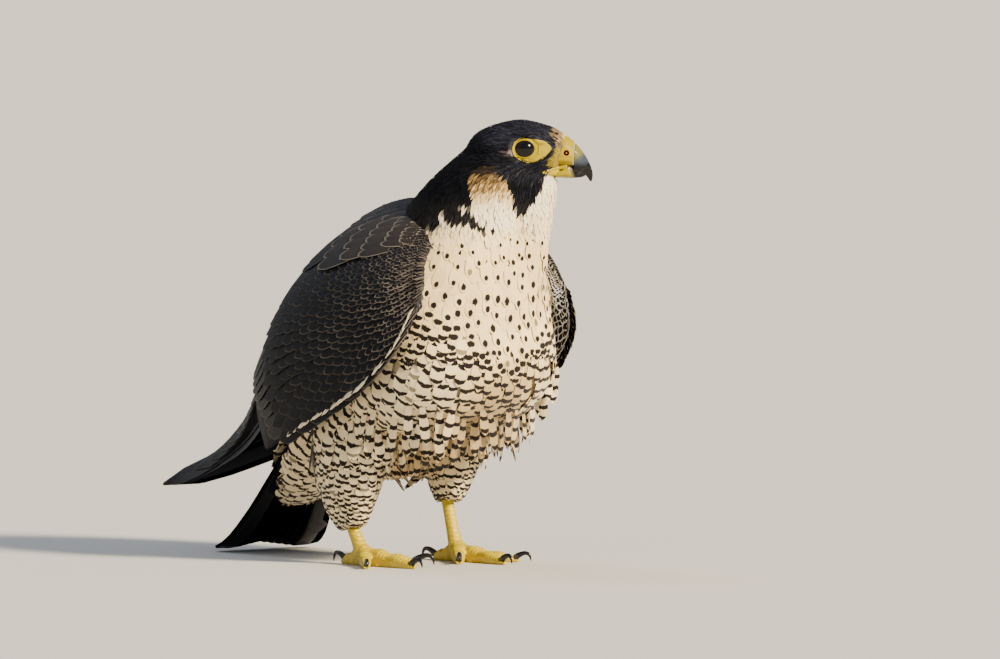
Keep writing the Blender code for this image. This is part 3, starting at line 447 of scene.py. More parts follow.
def vanes(name, shafts, normals, left, right, tint, mark, bake, columns=5, cup=0.3, thick=0.25,
          ragged=0.0, rng=None, period=7.5, soft=0.0):
    """Many feathers as one mesh of thin closed vanes.

    shafts and normals are arrays of feathers by rows by 3, left and right the half widths of feathers by
    rows, tint a colour and mark (kind, strength, fringe, chance) for each feather, bake its place on the
    bake map as (u, v, width, height) and period the spacing of its bars. kind runs from 0 for one drop to 1
    for bars. soft is how far the shading of each feather is turned to that of the coat as a whole, as in
    downy plumage.
    """
    count, rows = shafts.shape[:2]
    shares = np.linspace(-1.0, 1.0, columns)
    along = unit(np.gradient(shafts, axis=1))
    side = unit(np.cross(normals, along))
    half = np.where(shares < 0, right[..., None], left[..., None])
    across = half * shares
    drop = np.broadcast_to(np.reshape(cup, (-1, 1, 1)), across.shape) * shares**2
    top = shafts[:, :, None] + side[:, :, None] * across[..., None] - normals[:, :, None] * drop[..., None]
    if ragged:
        pull = rng.uniform(0.0, ragged, (count, 2, columns)) * np.array([0.45, 1.0])[None, :, None]
        top[:, -2:] -= along[:, -2:, None] * pull[..., None]
    under = shafts - normals * thick
    points = np.concatenate([top, under[:, :, None]], axis=2)
    own = unit(np.cross(np.gradient(top, axis=1), np.gradient(top, axis=2)))
    own = np.where(np.sum(own * normals[:, :, None], axis=-1, keepdims=True) < 0, -own, own)
    facing = unit(own * (1 - soft) + normals[:, :, None] * soft)
    facing = np.concatenate([facing, -normals[:, :, None]], axis=2)
    lengths = np.linalg.norm(np.diff(shafts, axis=1), axis=2)
    gone = np.concatenate([np.zeros((count, 1)), np.cumsum(lengths, axis=1)], axis=1)
    back = (gone[:, -1:] - gone)[..., None]

    kind, chance = mark[:, 0, None, None], mark[:, 3, None, None]
    period = np.broadcast_to(period, (count,))[:, None, None]
    size_of_drop = period / DROP_PERIOD
    thickness = DROP_HALF * size_of_drop * (1 - kind) + period * BAR_SHARE * kind
    first = (DROP_HALF * size_of_drop + 0.3 + chance) * (1 - kind) + (period * 0.31 + 0.6 * chance) * kind
    reach = DROP_REACH * size_of_drop + BAR_REACH * kind**1.6
    wide = np.abs(across)
    data = np.zeros((count, rows, columns + 1, 4))
    data[..., :columns, 0] = (back - 0.18 * kind * wide - 0.035 * kind * wide**2 - first) / thickness
    data[..., :columns, 1] = wide / reach
    data[..., :columns, 2] = np.minimum(half * (1 - np.abs(shares)), back)
    data[..., :columns, 3] = back - 1.1 * wide
    data[..., columns, :] = (BAR_REPEAT / 2, 2.0, 2.0, 0.0)

    share_back = np.broadcast_to(back / np.maximum(gone[:, -1:, None], 1e-6), (count, rows, columns + 1))
    share_across = np.broadcast_to(np.append(shares, 0.0) * 0.5, (count, rows, columns + 1))
    bake_u = bake[:, 0, None, None] + share_across * bake[:, 2, None, None]
    bake_v = bake[:, 1, None, None] + (0.5 - share_back) * bake[:, 3, None, None]
    size = rows * (columns + 1)
    quads, caps = vane_faces(rows, columns)
    starts = (np.arange(count) * size)[:, None, None]
    loops = [(faces[None] + starts).reshape(count, -1) for faces in (quads, caps)]
    loops = np.concatenate(loops, axis=1).reshape(-1)
    sizes = np.tile(np.array([4] * len(quads) + [columns + 1] * 2), count)
    mesh = bpy.data.meshes.new(name)
    mesh.vertices.add(count * size)
    mesh.vertices.foreach_set("co", placed(points).reshape(-1).astype(np.float32))
    mesh.loops.add(len(loops))
    mesh.loops.foreach_set("vertex_index", loops.astype(np.int32))
    mesh.polygons.add(len(sizes))
    mesh.polygons.foreach_set("loop_start", np.concatenate([[0], np.cumsum(sizes)[:-1]]).astype(np.int32))
    mesh.update(calc_edges=True)
    mesh.polygons.foreach_set("use_smooth", np.ones(len(sizes), bool))
    store(mesh, "vane", data)
    store(mesh, "tint", np.repeat(with_alpha(tint), size, axis=0))
    store(mesh, "mark", np.repeat(mark, size, axis=0))
    layer = mesh.uv_layers.new(name=BAKE_MAP)
    places = np.stack([bake_u, bake_v], axis=-1).reshape(-1, 2)[loops]
    layer.data.foreach_set("uv", places.astype(np.float32).ravel())
    mesh.normals_split_custom_set_from_vertices(facing.reshape(-1, 3))
    return new_object(name, mesh)


def outline(shares, root, tip, full=0.55):
    """The share of its full width that a feather has at each share of its length."""
    shares = np.asarray(shares, float)
    opening = root + (1 - root) * ramp(0.0, full, shares)
    closing = np.sqrt(np.clip(1 - np.clip((shares - full) / (1 - full), 0, 1) ** 2.6, 0, 1))
    return np.maximum(opening * closing, tip)


# Markings of head and body, in the head's frame seen from its right side, as (x, z)

PALE_FACE = [
    (17.5, -13.5), (11.5, -16.2), (10.5, -22.2), (7.4, -28.2), (3.9, -33.6), (2.0, -37.9), (-2.2, -40.9),
    (-5.6, -41.3), (-7.8, -34.8), (-7.0, -30.0), (-8.4, -25.2), (-11.8, -20.4), (-15.8, -15.0),
    (-18.4, -11.4), (-23.8, -9.6), (-29.2, -11.7), (-32.8, -16.2), (-32.6, -25.8), (-32.0, -31.8),
    (-32.8, -36.6), (-28.6, -43.2), (-23.8, -47.1), (-18.4, -48.9), (-16.6, -51.6), (-26.2, -50.4),
    (-34.0, -46.8), (-41.8, -45.9), (-47.8, -46.5), (-53.8, -49.8), (-59.8, -54.0), (-75.0, -60.0),
    (-90.0, -150.0), (70.0, -150.0), (70.0, -13.5),
]
NOTCHES = [
    [(-38.8, -34.2), (-37.0, -33.4), (-31.6, -38.5), (-32.4, -40.0), (-37.6, -37.8)],
    [(-50.8, -39.3), (-48.4, -38.4), (-47.6, -45.2), (-50.4, -46.4)],
]
FOREHEAD = [(14.5, 9.5), (17.0, 12.5), (22.0, 13.0), (27.0, 8.0), (25.9, 4.0), (21.1, 0.6), (18.6, 0.6),
            (18.0, 5.0)]
LORE = [(17.6, 0.4), (21.1, 1.5), (23.0, -4.4), (20.0, -11.5), (13.0, -9.4), (15.0, -5.5), (17.2, -3.0)]
EYE_SPOT = [(-13.6, -1.2), (-10.0, -0.6), (-6.6, -1.2), (-6.0, -4.2), (-9.4, -3.8)]
# The brow's ridge over the eye, from behind it to the lore.
BROW = [(-9.0, 4.5), (-5.0, 6.6), (0.0, 7.4), (5.0, 7.2), (10.0, 5.8), (14.5, 3.6), (17.0, 0.8)]
EYE_CENTRE = (-0.3, 0.5)
# The angle from the bill round over the top, and how far the yellow skin reaches there.
EYE_REACH = (
    (0, 10, 25, 40, 60, 90, 135, 180, 215, 250, 270, 285, 301, 324, 345, 360),
    (15.7, 14.2, 11.2, 8.0, 6.1, 5.5, 6.1, 6.9, 6.9, 6.3, 6.2, 7.1, 9.0, 11.1, 13.4, 15.7),
)


def eye_ring(angle):
    """The reach of the bare skin round the eye, furthest towards the bill and cut by the brow above."""
    return np.interp(np.degrees(angle) % 360, EYE_REACH[0], EYE_REACH[1])


def bare(head):
    """How far each point in the head's frame lies inside the bare skin of eye and bill, negative outside."""
    dx, dz = head[..., 0] - EYE_CENTRE[0], head[..., 2] - EYE_CENTRE[1]
    ring = eye_ring(np.arctan2(dz, dx)) - np.hypot(dx, dz)
    ring = np.where(np.abs(head[..., 1]) > 7, ring, -9.0)
    bill = head[..., 0] - (23.2 - 0.12 * np.abs(head[..., 2] + 2))
    bill = np.where(head[..., 2] > -18, bill, -9.0)
    jaw = np.where((head[..., 2] < -12.0) & (head[..., 2] > -17.0), head[..., 0] - 15.5, -9.0)
    return np.maximum(np.maximum(ring, bill), jaw)


def regions(points, normals):
    """What the plumage is like at each point, as named values with one row for each point."""
    head = in_head(points)
    x, y, z = np.moveaxis(points, -1, 0)
    hx, hy, hz = np.moveaxis(head, -1, 0)
    names = ("slate", "cream", "buff", "white", "grey", "belly")
    slate, cream, buff, white, grey, belly = (colour(name) for name in names)

    # Which plumage is pale: the face inside its outline, and all below a ragged line at the base of the
    # neck.
    face = ramp(-0.4, 0.4, depth_inside(PALE_FACE, hx, hz))
    for notch in NOTCHES:
        face = np.maximum(face, ramp(-0.4, 0.4, depth_inside(notch, hx, hz)))
    backward = normals @ np.array([-0.75, 0.0, 0.66])
    dorsal = ramp(0.15, 0.4, backward)
    grain = np.random.default_rng(3).normal(0, 2.2, len(hz))
    low = ramp(201.5, 199.5, z + 0.5 * grain)
    nape = ramp(0.45, 0.7, backward) * ramp(232, 214, z)
    pale = np.maximum(face * (1 - low) * (1 - nape), low) * (1 - dorsal * low)

    # The pale plumage from throat to flanks and thighs, and the small coloured spots of the face.
    cheek = ramp(-6, -9, hx) * ramp(-50, -46, hz) * (1 - low)
    warm = blend(white, buff, cheek * ramp(-38, -22, hz + grain))
    warm = blend(warm, slate, cheek * ramp(-27, -13, hz + 1.6 * grain) ** 0.55 * 0.97)
    throat = blend(cream, white, ramp(186, 222, z))
    front = blend(throat, warm, cheek)
    sides = blend(front, grey, ramp(150, 112, z) * ramp(14, 44, np.abs(y)))
    middle = blend(sides, belly, ramp(128, 104, z) * ramp(34, 12, np.abs(y)))
    rear = blend(middle, grey, ramp(10, -30, x) * ramp(150, 125, z))

    top = ramp(-0.6, 0.8, depth_inside(FOREHEAD, hx, hz)) * (np.abs(hy) < 30)
    lore = ramp(-0.6, 0.8, depth_inside(LORE, hx, hz)) * ramp(3, 5, np.abs(hy))
    spot = ramp(-0.5, 0.5, depth_inside(EYE_SPOT, hx, hz)) * ramp(4, 7, np.abs(hy))

    leg = ramp(80, 72, z) * ramp(-52, -44, x)
    rear = blend(rear, grey, leg)
    # The dark feathers are made lighter over the top and front of the head than on the nape, neck and back:
    # from 1.9 to 3.7 times the settings' slate.
    paler = 1 + 1.8 * ramp(-2, 8, hz) * ramp(-40, -22, hx) + 0.9 * ramp(-24, -18, hz) * ramp(-24, -16, hx)
    dark = slate * (paler * np.clip(1 + 0.22 * grain, 0.5, 2.0))[:, None]
    tint = blend(dark, rear, pale)
    tint = blend(tint, colour("forehead"), top * np.clip(0.5 + 0.16 * grain, 0, 1))
    tint = blend(tint, colour("lore"), lore * np.clip(0.8 + 0.12 * grain, 0, 1))
    tint = blend(tint, colour("eye_spot"), spot)

    # Drops above turn to bars below, and the dark plumage has its pale fringes instead.
    vent = ramp(-44, -56, x) * ramp(112, 98, z)
    kind = np.clip((137 - z) / 30 + (np.abs(y) - 12) / 32, 0, 1)
    kind = np.maximum(kind, np.maximum(leg, vent))
    begins = ramp(200, 188, z + (np.abs(hy) - 20) * 0.15)
    fringe = (1 - pale) * ramp(226, 205, z) * 0.1

    # The distance between feathers and the coat's depth grow from the bill to the belly.
    near_bill = ramp(3, 18, hx) * ramp(-24, -18, hz)
    shin = ramp(60, 25, z)
    spacing = mix(1.35 - 0.35 * near_bill, 1.9, ramp(-20, -44, hz))
    spacing = mix(spacing, 3.7, ramp(206, 184, z))
    spacing = mix(spacing, 6.0 + 1.6 * ramp(18, 44, np.abs(y)), ramp(150, 118, z + 18 - 0.4 * np.abs(y)))
    spacing = mix(mix(spacing, 6.5, dorsal * low), 3.4 - 0.9 * shin, leg)
    spacing = mix(spacing, 5.4, vent)
    depth = mix(0.95 - 0.5 * near_bill, 1.6, ramp(-16, -40, hz))
    depth = mix(mix(depth, 2.7, ramp(212, 176, z)), 1.8 - 0.8 * shin, leg)
    sizes = bpy.context.scene.falcon_sizes
    bars, thigh_bars = sizes.bar_spacing / MM, sizes.thigh_bar_spacing / MM
    period = mix(bars, thigh_bars, leg) - 1.2 * vent * (1 - leg) - 2.6 * ramp(166, 198, z)

    # The lie of the coat: back over the head, down the front and back along the body's axis behind.
    back_of_head = from_head(np.array([-1.0, 0.0, 0.0])) - HEAD_CENTRE
    down = np.array([-0.12, 0.0, -1.0])
    crown = blend(back_of_head, np.array([-0.35, -0.2, -0.9]), ramp(-6, -26, hx) * 0.85)
    cheek_way = blend(back_of_head, np.array([-0.32, -0.38, -0.85]), ramp(-4, -20, hz) * 0.95)
    on_head = blend(cheek_way, crown, ramp(0, 10, hz))
    chin = blend(on_head, down, ramp(-16, -22, hz) * ramp(-2, 6, hx))
    flow = blend(chin, down, ramp(-26, -46, hz))
    aside = np.sign(y) * 0.28 * ramp(12, 45, np.abs(y))
    spread = np.stack([-0.15 - 0.5 * ramp(60, 20, x), aside, -np.ones_like(x)], axis=-1)
    flow = blend(flow, spread, ramp(205, 175, z))
    axis = np.array([-0.78, 0.0, -0.62])
    flow = blend(flow, axis, np.clip(dorsal * ramp(235, 205, z) + ramp(15, -35, x), 0, 1) * (1 - leg))
    flow = blend(flow, np.array([-0.12, 0.0, -1.0]), leg)
    flow = unit(flow - normals * np.sum(flow * normals, -1, keepdims=True))
    return {"points": points, "tint": tint, "kind": kind, "strength": begins * pale, "fringe": fringe,
            "spacing": spacing, "depth": depth, "flow": flow, "leg": leg, "vent": vent, "head": head,
            "period": period}


# Skin

FLESH = ("head", "neck", "torso", "trouser_right", "trouser_left")
# What the coat needs of the skin, which remember_skin() fills.
skin_data = {}
# How far from the skin the wing is looked for, in millimetres.
WING_REACH = 34.0


def make_skin():
    """One skin for head, neck, body and thighs, sunk by the depth of the coat."""
    skin = remeshed("skin", FLESH, 1.5, 6)
    mesh = skin.data
    normals = read(mesh.vertices, "normal", 3)
    points = corners_of(mesh)
    found = regions(points, normals)
    bare_share = ramp(-1.5, 0.5, bare(found["head"]))
    depth = found["depth"] * (1 - bare_share) + 0.25 * bare_share
    head = found["head"]
    # Under the eyeball the skin makes room, and over the eye it rises in the brow's ridge.
    eye = np.hypot(head[:, 0] - EYE_CENTRE[0], head[:, 2] - EYE_CENTRE[1])
    depth = depth + 1.6 * ramp(8.2, 7.2, eye) * ramp(10, 13, np.abs(head[:, 1]))
    line = np.array(BROW, float)
    fine, coarse = np.linspace(0, 1, 60), np.linspace(0, 1, len(line))
    brow_x, brow_z = (np.interp(fine, coarse, line[:, k]) for k in (0, 1))
    near = np.min(np.hypot(head[:, None, 0] - brow_x[None], head[:, None, 2] - brow_z[None]), axis=1)
    ridge = 0.9 * np.exp(-((near / 1.5) ** 2)) * ramp(5, 9, np.abs(head[:, 1]))
    move_to(mesh, points + normals * (ridge - depth)[:, None])
    paint(skin, blend(found["tint"] * 0.8, colour("yellow") * 0.85, ramp(0.2, 1.2, bare(head))))
    choose_only(skin)
    mesh.uv_layers.active = mesh.uv_layers.new(name=BAKE_MAP)
    bpy.ops.object.mode_set(mode="EDIT")
    bpy.ops.mesh.select_all(action="SELECT")
    bpy.ops.uv.smart_project(angle_limit=math.radians(66), island_margin=0.004)
    bpy.ops.object.mode_set(mode="OBJECT")
    dress(skin, "feather_bed", FLESH)
    remember_skin(mesh)


def remember_skin(mesh):
    """Keeps what the coat needs: a search tree, and each triangle's place, normal, area and plumage."""
    mesh.calc_loop_triangles()
    points = corners_of(mesh)
    tris = read(mesh.loop_triangles, "vertices", 3, np.int32)
    loops = read(mesh.loop_triangles, "loops", 3, np.int32)
    uv = read(mesh.uv_layers[BAKE_MAP].data, "uv", 2)
    normals = unit(read(mesh.vertices, "normal", 3)[tris].mean(axis=1))
    a, b, c = (points[tris[:, k]] for k in range(3))
    centres = (a + b + c) / 3
    wings = copy_of("wing_shadow", ["wing_right", "wing_left"])
    shade = BVHTree.FromPolygons([drawn(v.co[:]).tolist() for v in wings.data.vertices],
                                 [p.vertices[:] for p in wings.data.polygons])
    bpy.data.objects.remove(wings)
    found = regions(centres, normals)
    # A place that the wing covers from every way that a feather there could lean needs no feather.
    side = unit(np.cross(normals, found["flow"]))
    hidden = np.ones(len(tris), bool)
    for way in (normals, normals + side * 0.8, normals - side * 0.8, normals + found["flow"] * 0.8):
        way = unit(way)
        for index in np.flatnonzero(hidden):
            hit = shade.ray_cast(Vector(centres[index]), Vector(way[index]), WING_REACH)
            hidden[index] = hit[0] is not None
    tree = BVHTree.FromPolygons(points.tolist(), tris.tolist())
    areas = np.linalg.norm(np.cross(b - a, c - a), axis=1) / 2
    skin_data.update(tree=tree, points=points, tris=tris, normals=normals, areas=areas, found=found,
                     hidden=hidden, places=uv[loops].mean(axis=1))


def nearest_skin(points):
    """The nearest points of the skin, their smooth normals and their triangles."""
    found = [skin_data["tree"].find_nearest(p) for p in points.tolist()]
    index = np.array([f[2] for f in found])
    return np.array([f[0][:] for f in found]), skin_data["normals"][index], index


def apart(points, gaps, cell=8.0):
    """Which points to keep, in order, so that each stands its own gap from those kept before it."""
    grid = {}
    kept = []
    around = [(dx, dy, dz) for dx in (-1, 0, 1) for dy in (-1, 0, 1) for dz in (-1, 0, 1)]
    for index, (point, gap) in enumerate(zip(points.tolist(), gaps.tolist())):
        x, y, z = (int(v // cell) for v in point)
        px, py, pz = point
        limit = gap * gap
        clear = True
        for dx, dy, dz in around:
            for ox, oy, oz in grid.get((x + dx, y + dy, z + dz), ()):
                if (px - ox) ** 2 + (py - oy) ** 2 + (pz - oz) ** 2 < limit:
                    clear = False
                    break
            if not clear:
                break
        if clear:
            grid.setdefault((x, y, z), []).append(point)
            kept.append(index)
    return np.array(kept, int)


# Where the parts of the coat meet: x between face and nape and z at the base of the head, in the head's
# frame, and z at the base of neck and breast and from the bottom to the top of the belly's hem, in the
# tables' frame.
FACE_BACK = -8
HEAD_BASE = -30
NECK_BASE = 202
BREAST_BASE = 140
HEM = (78, 101)


def part_of_coat(found, part):
    """Which points belong to a part of the coat."""
    ahead, up = found["head"][:, 0], found["head"][:, 2]
    x, z = found["points"][:, 0], found["points"][:, 2]
    leg, vent = found["leg"] >= 0.5, found["vent"] >= 0.5
    return {
        "face": (ahead >= FACE_BACK) & (up > HEAD_BASE),
        "nape": (ahead < FACE_BACK) & (up > HEAD_BASE),
        "neck": (up <= HEAD_BASE) & (z > NECK_BASE),
        "breast": (z <= NECK_BASE) & (z > BREAST_BASE) & ~vent,
        "belly": (z <= BREAST_BASE) & ~leg & ~vent,
        "thighs": leg,
        "under_tail": vent & ~leg,
        "hem": (z > HEM[0]) & (z < HEM[1]) & (x > -34) & (found["leg"] < 0.3),
    }[part]


def scattered(rng, part):
    """Roots spread evenly over a part of the coat, as far apart as its feathers are, and their triangles."""
    found = skin_data["found"]
    clear = ~skin_data["hidden"] & (bare(found["head"]) < 0.5)
    there = np.flatnonzero(part_of_coat(found, part) & clear)
    density = skin_data["areas"][there] / found["spacing"][there] ** 2
    picks = there[rng.choice(len(there), int(3.0 * density.sum()), p=density / density.sum())]
    weights = rng.dirichlet((1.0, 1.0, 1.0), len(picks))
    points = np.einsum("nk,nkd->nd", weights, skin_data["points"][skin_data["tris"][picks]])
    kept = apart(points, found["spacing"][picks])
    return points[kept], picks[kept]


def lie_along(points, index, lengths, rows, turn):
    """Paths over the skin from roots along the plumage's flow, with the skin's normals beside them."""
    normals = skin_data["normals"][index]
    paths, sides = [points], [normals]
    here, way = points, normals
    for _ in range(rows - 1):
        straight = skin_data["found"]["flow"][index]
        flow = straight + np.cross(way, straight) * turn[:, None]
        here, way, index = nearest_skin(here + flow * (lengths / (rows - 1))[:, None])
        paths.append(here)
        sides.append(way)
    return np.stack(paths, axis=1), unit(np.stack(sides, axis=1))


def hang_down(points, index, lengths, rows, clear, rng):
    """Paths of feathers that hang from roots on the skin and slide over whatever skin they meet."""
    way = skin_data["normals"][index]
    here = points + way * clear[:, None]
    paths, sides = [here], [way]
    down = np.array([-0.1, 0.0, -1.0]) + rng.normal(0, 0.13, (len(points), 3)) * (1, 1, 0)
    for _ in range(rows - 1):
        here = here + down * (lengths / (rows - 1))[:, None]
        near, normal, _ = nearest_skin(here)
        out = np.sum((here - near) * normal, axis=-1)
        here = np.where((out < clear)[:, None], near + normal * clear[:, None], here)
        way = unit(way * 0.7 + normal * 0.3 * (1, 1, 0.3))
        paths.append(here)
        sides.append(way)
    return np.stack(paths, axis=1), np.stack(sides, axis=1)


def coat_piece(name, roots, index, rng, material, rows=8, columns=5, long=3.2, wide=0.8,
               over=0.0, gap=0.0, tip=0.3, soft=0.85, size=None, hangs=False):
    """One piece of the coat: a feather from each root, shingled over those behind it.

    long and wide are in the plumage's spacing, over lifts the tips further, tip is how blunt the feathers
    end, gap is how far apart the marked ones stand at least, and size takes the place of the plumage's own
    spacing. Feathers that hang fall straight down and slide over what they meet.
    """
    here = skin_data["found"]
    count = len(roots)
    spacing, depth = here["spacing"][index], here["depth"][index]
    if size:
        spacing = np.full(count, size)
    lengths = spacing * long * (rng.uniform(0.65, 1.25, count) if hangs else rng.uniform(0.9, 1.12, count))
    shares = np.linspace(0, 1, rows)
    rise = depth * rng.uniform(0.95, 1.04, count)
    if hangs:
        paths, ways = hang_down(roots, index, lengths, rows, rise * 0.4, rng)
        at = 0
    else:
        paths, ways = lie_along(roots, index, lengths, rows, rng.uniform(-0.1, 0.1, count))
        at = int(rows * 0.7)
    seen = regions(paths[:, at] + rng.normal(0, 0.12, (count, 3)) * spacing[:, None], ways[:, at])
    strength = seen["strength"] > rng.uniform(0.2, 0.8, count)
    strength = strength * np.where(rng.uniform(0, 1, count) < 0.06, 0.75, 1.0)
    if gap:
        bold = np.zeros(count)
        bold[apart(paths[:, -1], gap * (1 - 0.75 * seen["kind"]))] = 1.0
        strength = strength * bold
        rise = rise + 0.45 * bold * seen["strength"]
    start = np.maximum(rise - 1.5, -0.7)[:, None]
    lift = start + (rise[:, None] - start) * (1 - (1 - shares[None]) ** 1.7) + over * shares[None] ** 2
    shafts = paths + ways * lift[..., None]
    half = spacing[:, None] * wide * outline(shares, 0.6, tip)[None] * rng.uniform(0.9, 1.1, (count, 1))
    touch = bare(in_head(shafts)).max(axis=1) < 0.3
    # A path that jumps across a fold of the skin would leave a stray hair, so it is dropped.
    steps = np.linalg.norm(np.diff(shafts, axis=1), axis=2)
    touch &= steps.max(axis=1) < 2.2 * lengths / (rows - 1) + 0.4
    mark = np.stack([seen["kind"], strength, seen["fringe"], rng.uniform(0, 1, count)], axis=-1)
    tint = seen["tint"] * rng.uniform(0.95, 1.04, (count, 1))
    bake = np.concatenate([skin_data["places"][index], np.full((count, 2), PATCH)], axis=1)
    made = vanes(name, shafts[touch], ways[touch], half[touch], half[touch], tint[touch], mark[touch],
                 bake[touch], columns=columns, cup=(spacing * 0.045)[touch], thick=0.1,
                 ragged=spacing.mean() * 0.2, rng=rng,
                 period=(seen["period"] * rng.uniform(0.85, 1.12, count))[touch], soft=soft)
    return dress(made, material)


# Wings and tail

# The folded wing's sheet on the right side, from wrist to tip: x, y, z of its lower edge and of its upper
# edge, and the bulge between them.
WING_SHEET = [
    (74, -55, 162, 58, -24, 204, 9),
    (66, -63, 140, 36, -18, 213, 18),
    (40, -67, 116, 4, -13, 214, 24),
    (2, -66, 98, -30, -10, 205, 26),
    (-32, -61, 86, -62, -9, 186, 25),
    (-66, -52, 74, -90, -9, 158, 20),
    (-100, -42, 63, -114, -10, 129, 13),
    (-133, -31, 57, -136, -10, 101, 7),
    (-163, -23, 53, -159, -11, 79, 3.5),
    (-194, -17, 48, -188, -13, 58, 1.5),
    (-230, -13, 40, -229, -12, 43, 0.3),
]
# How far along the sheet the tips of the primaries lie, from the outermost in.
PRIMARY_TIPS = (1.02, 1.035, 0.94, 0.895, 0.855, 0.815, 0.775, 0.74, 0.705, 0.67)
# The middle of the tail from root to tip, which comes down to the floor and swings to the bird's left.
TAIL_LINE = [(-70, 0, 108), (-92, 0, 82), (-113, 3, 56), (-134, 8, 32), (-156, 14, 13.6), (-177, 19, 5.2)]
EDGE_RISE = 2.4
TAIL_FEATHERS = 12
TAIL_ROOT = 0.16
UP = np.array([0.0, 0.0, 1.0])
LEFT = np.array([0.0, 1.0, 0.0])


def mirrored(side, points, normals):
    """Points and directions as they are on the right, or mirrored for the left."""
    if SIDES[side] > 0:
        points, normals = points * (1, -1, 1), normals * (1, -1, 1)
    return points, normals


def sheet_frame(s):
    """The wing's lower and upper edge, its way out and its bulge at places from wrist to tip."""
    row = curve(WING_SHEET, s)
    ahead = curve(WING_SHEET, s + 0.02) - curve(WING_SHEET, s - 0.02)
    low, high = row[..., 0:3], row[..., 3:6]
    outward = unit(np.cross(high - low, ahead[..., 0:3] + ahead[..., 3:6]))
    outward = np.where(outward[..., 1:2] > 0, -outward, outward)
    return low, high, outward, np.maximum(row[..., 6], 0.2)


def wing_sheet(side, s, t, lift):
    """Points and normals of the wing's outer sheet, s from wrist to tip and t from lower to upper edge."""
    low, high, outward, bulge = sheet_frame(s)
    lean = (0.5 - t) * 1.3 * np.minimum(1.0, bulge / 8.0)
    normal = unit(outward - unit(high - low) * lean[..., None])
    rise = bulge * 4 * t * (1 - t)
    proud = EDGE_RISE * ramp(0.14, 0.0, t) * ramp(0.62, 0.5, s)
    points = low + (high - low) * t[..., None] + outward * rise[..., None]
    points = points + normal * (lift + proud)[..., None]
    return mirrored(side, points, normal)


def lining_sheet(side, s, t, lift):
    """The wing's inner face, seen from the body, which slopes out to meet the outer one along its edges."""

    def place(s, t):
        rim = np.clip(np.minimum(t, 1 - t) * 12, 0, 1) * ramp(-0.012, 0.05, s)
        return wing_sheet("right", s, t, -1.6 - 6.0 * rim)

    points, outward = place(s, t)
    ahead = place(s + 0.004, t)[0] - place(s - 0.004, t)[0]
    up = place(s, t + 0.01)[0] - place(s, t - 0.01)[0]
    normals = unit(np.cross(ahead, up))
    normals = np.where(np.sum(normals * outward, axis=-1, keepdims=True) > 0, -normals, normals)
    return mirrored(side, points + normals * lift[..., None], normals)


def hand_sheet(side, s, t, lift):
    """The flatter stack of primaries inside the sheet."""
    low, high, outward, bulge = sheet_frame(s)
    point = low + (high - low) * t[..., None] + outward * (bulge * 0.72)[..., None]
    return mirrored(side, point - LEFT * lift[..., None], outward)


def cells(count):
    """A place of its own on the bake map for each of a number of long feathers."""
    across = math.ceil(math.sqrt(count))
    number = np.arange(count)
    u, v = (number % across + 0.5) / across, (number // across + 0.5) / across
    return np.stack([u, v, np.full(count, 0.86 / across), np.full(count, 0.9 / across)], axis=1)


class Tier:
    """Feathers gathered for one piece: each tier is added with its paths, widths and looks."""

    def __init__(self, rows):
        self.rows = rows
        self.parts = []

    def put(self, points, normals, widths, left_share, tint, fringe, strength=0.0, rng=None):
        """points and normals by feathers and rows. left_share is how much of the width the left half has."""
        count = len(points)
        chance = rng.uniform(0, 1, count)
        looks = (1.0, strength, fringe, chance)
        mark = np.stack([np.broadcast_to(look, count) for look in looks], axis=-1)
        tints = np.broadcast_to(tint, (count, 3)) * rng.uniform(0.85, 1.15, (count, 1))
        self.parts.append((points, normals, widths * left_share, widths * (1 - left_share), tints, mark))

    def build(self, name, material, node_names=(), columns=5, cup=0.5, thick=0.2, tilt=0.0, ragged=0.0,
              rng=None):
        """Makes one piece of all the feathers, each tilted so that one edge lies over the next feather."""
        joined = [np.concatenate([part[k] for part in self.parts]) for k in range(6)]
        points, normals, left, right, tints, mark = joined
        if tilt:
            along = unit(np.gradient(points, axis=1))
            side = unit(np.cross(normals, along))
            normals = unit(normals - side * tilt)
        made = vanes(name, points, normals, left, right, tints, mark, cells(len(points)), columns=columns,
                     cup=cup, thick=thick, ragged=ragged, rng=rng)
        dress(made, material, node_names)


def paths_on(surface, side, starts, ends, lifts, rows, bend=0.0):
    """Feather paths over a wing surface from (s, t) starts to ends, with lifts from root to tip."""
    shares = np.linspace(0, 1, rows)
    starts, ends = np.asarray(starts, float), np.asarray(ends, float)
    s = starts[:, :1] + (ends[:, :1] - starts[:, :1]) * shares
    t = starts[:, 1:] + (ends[:, 1:] - starts[:, 1:]) * shares + bend * shares * (1 - shares)
    lifts = np.asarray(lifts, float)
    if lifts.ndim == 1:
        lifts = np.tile(lifts, (len(starts), 1))
    rise = np.stack([np.interp(shares, np.linspace(0, 1, lifts.shape[1]), row) for row in lifts])
    return surface(side, s, t, rise)


def row_of(count, s_root, s_tip, t_low, t_high, rng, stagger=0.0, wander=0.0):
    """Starts and ends of one row of coverts, staggered by a share of their spacing."""
    step = (t_high - t_low) / max(count - 1, 1)
    t = t_low + step * (np.arange(count) + stagger)
    jitter = rng.uniform(-1, 1, (count, 2)) * (0.004, step * 0.08)
    starts = np.stack([np.full(count, s_root), t], -1) + jitter
    ends = np.stack([np.full(count, s_tip), t + wander], -1) + jitter
    return starts, ends


def covert_rows():
    """Rows of coverts from the wrist back: roots, tips, width in millimetres and strength of the fringe."""
    places = (0, 0.1, 0.2, 0.3, 0.45)
    tip, rows = 0.004, []
    while tip < 0.47:
        show = np.interp(tip, places, (0.010, 0.013, 0.018, 0.024, 0.034))
        width = np.interp(tip, places, (2.9, 3.9, 5.2, 7.0, 10.0))
        fringe = np.interp(tip, (0, 0.12, 0.2, 0.3, 0.45), (0.5, 0.75, 0.4, 0.22, 0.1))
        rows.append((max(tip - 2.9 * show, -0.014), tip, width, fringe))
        tip += show
    return rows[::-1]


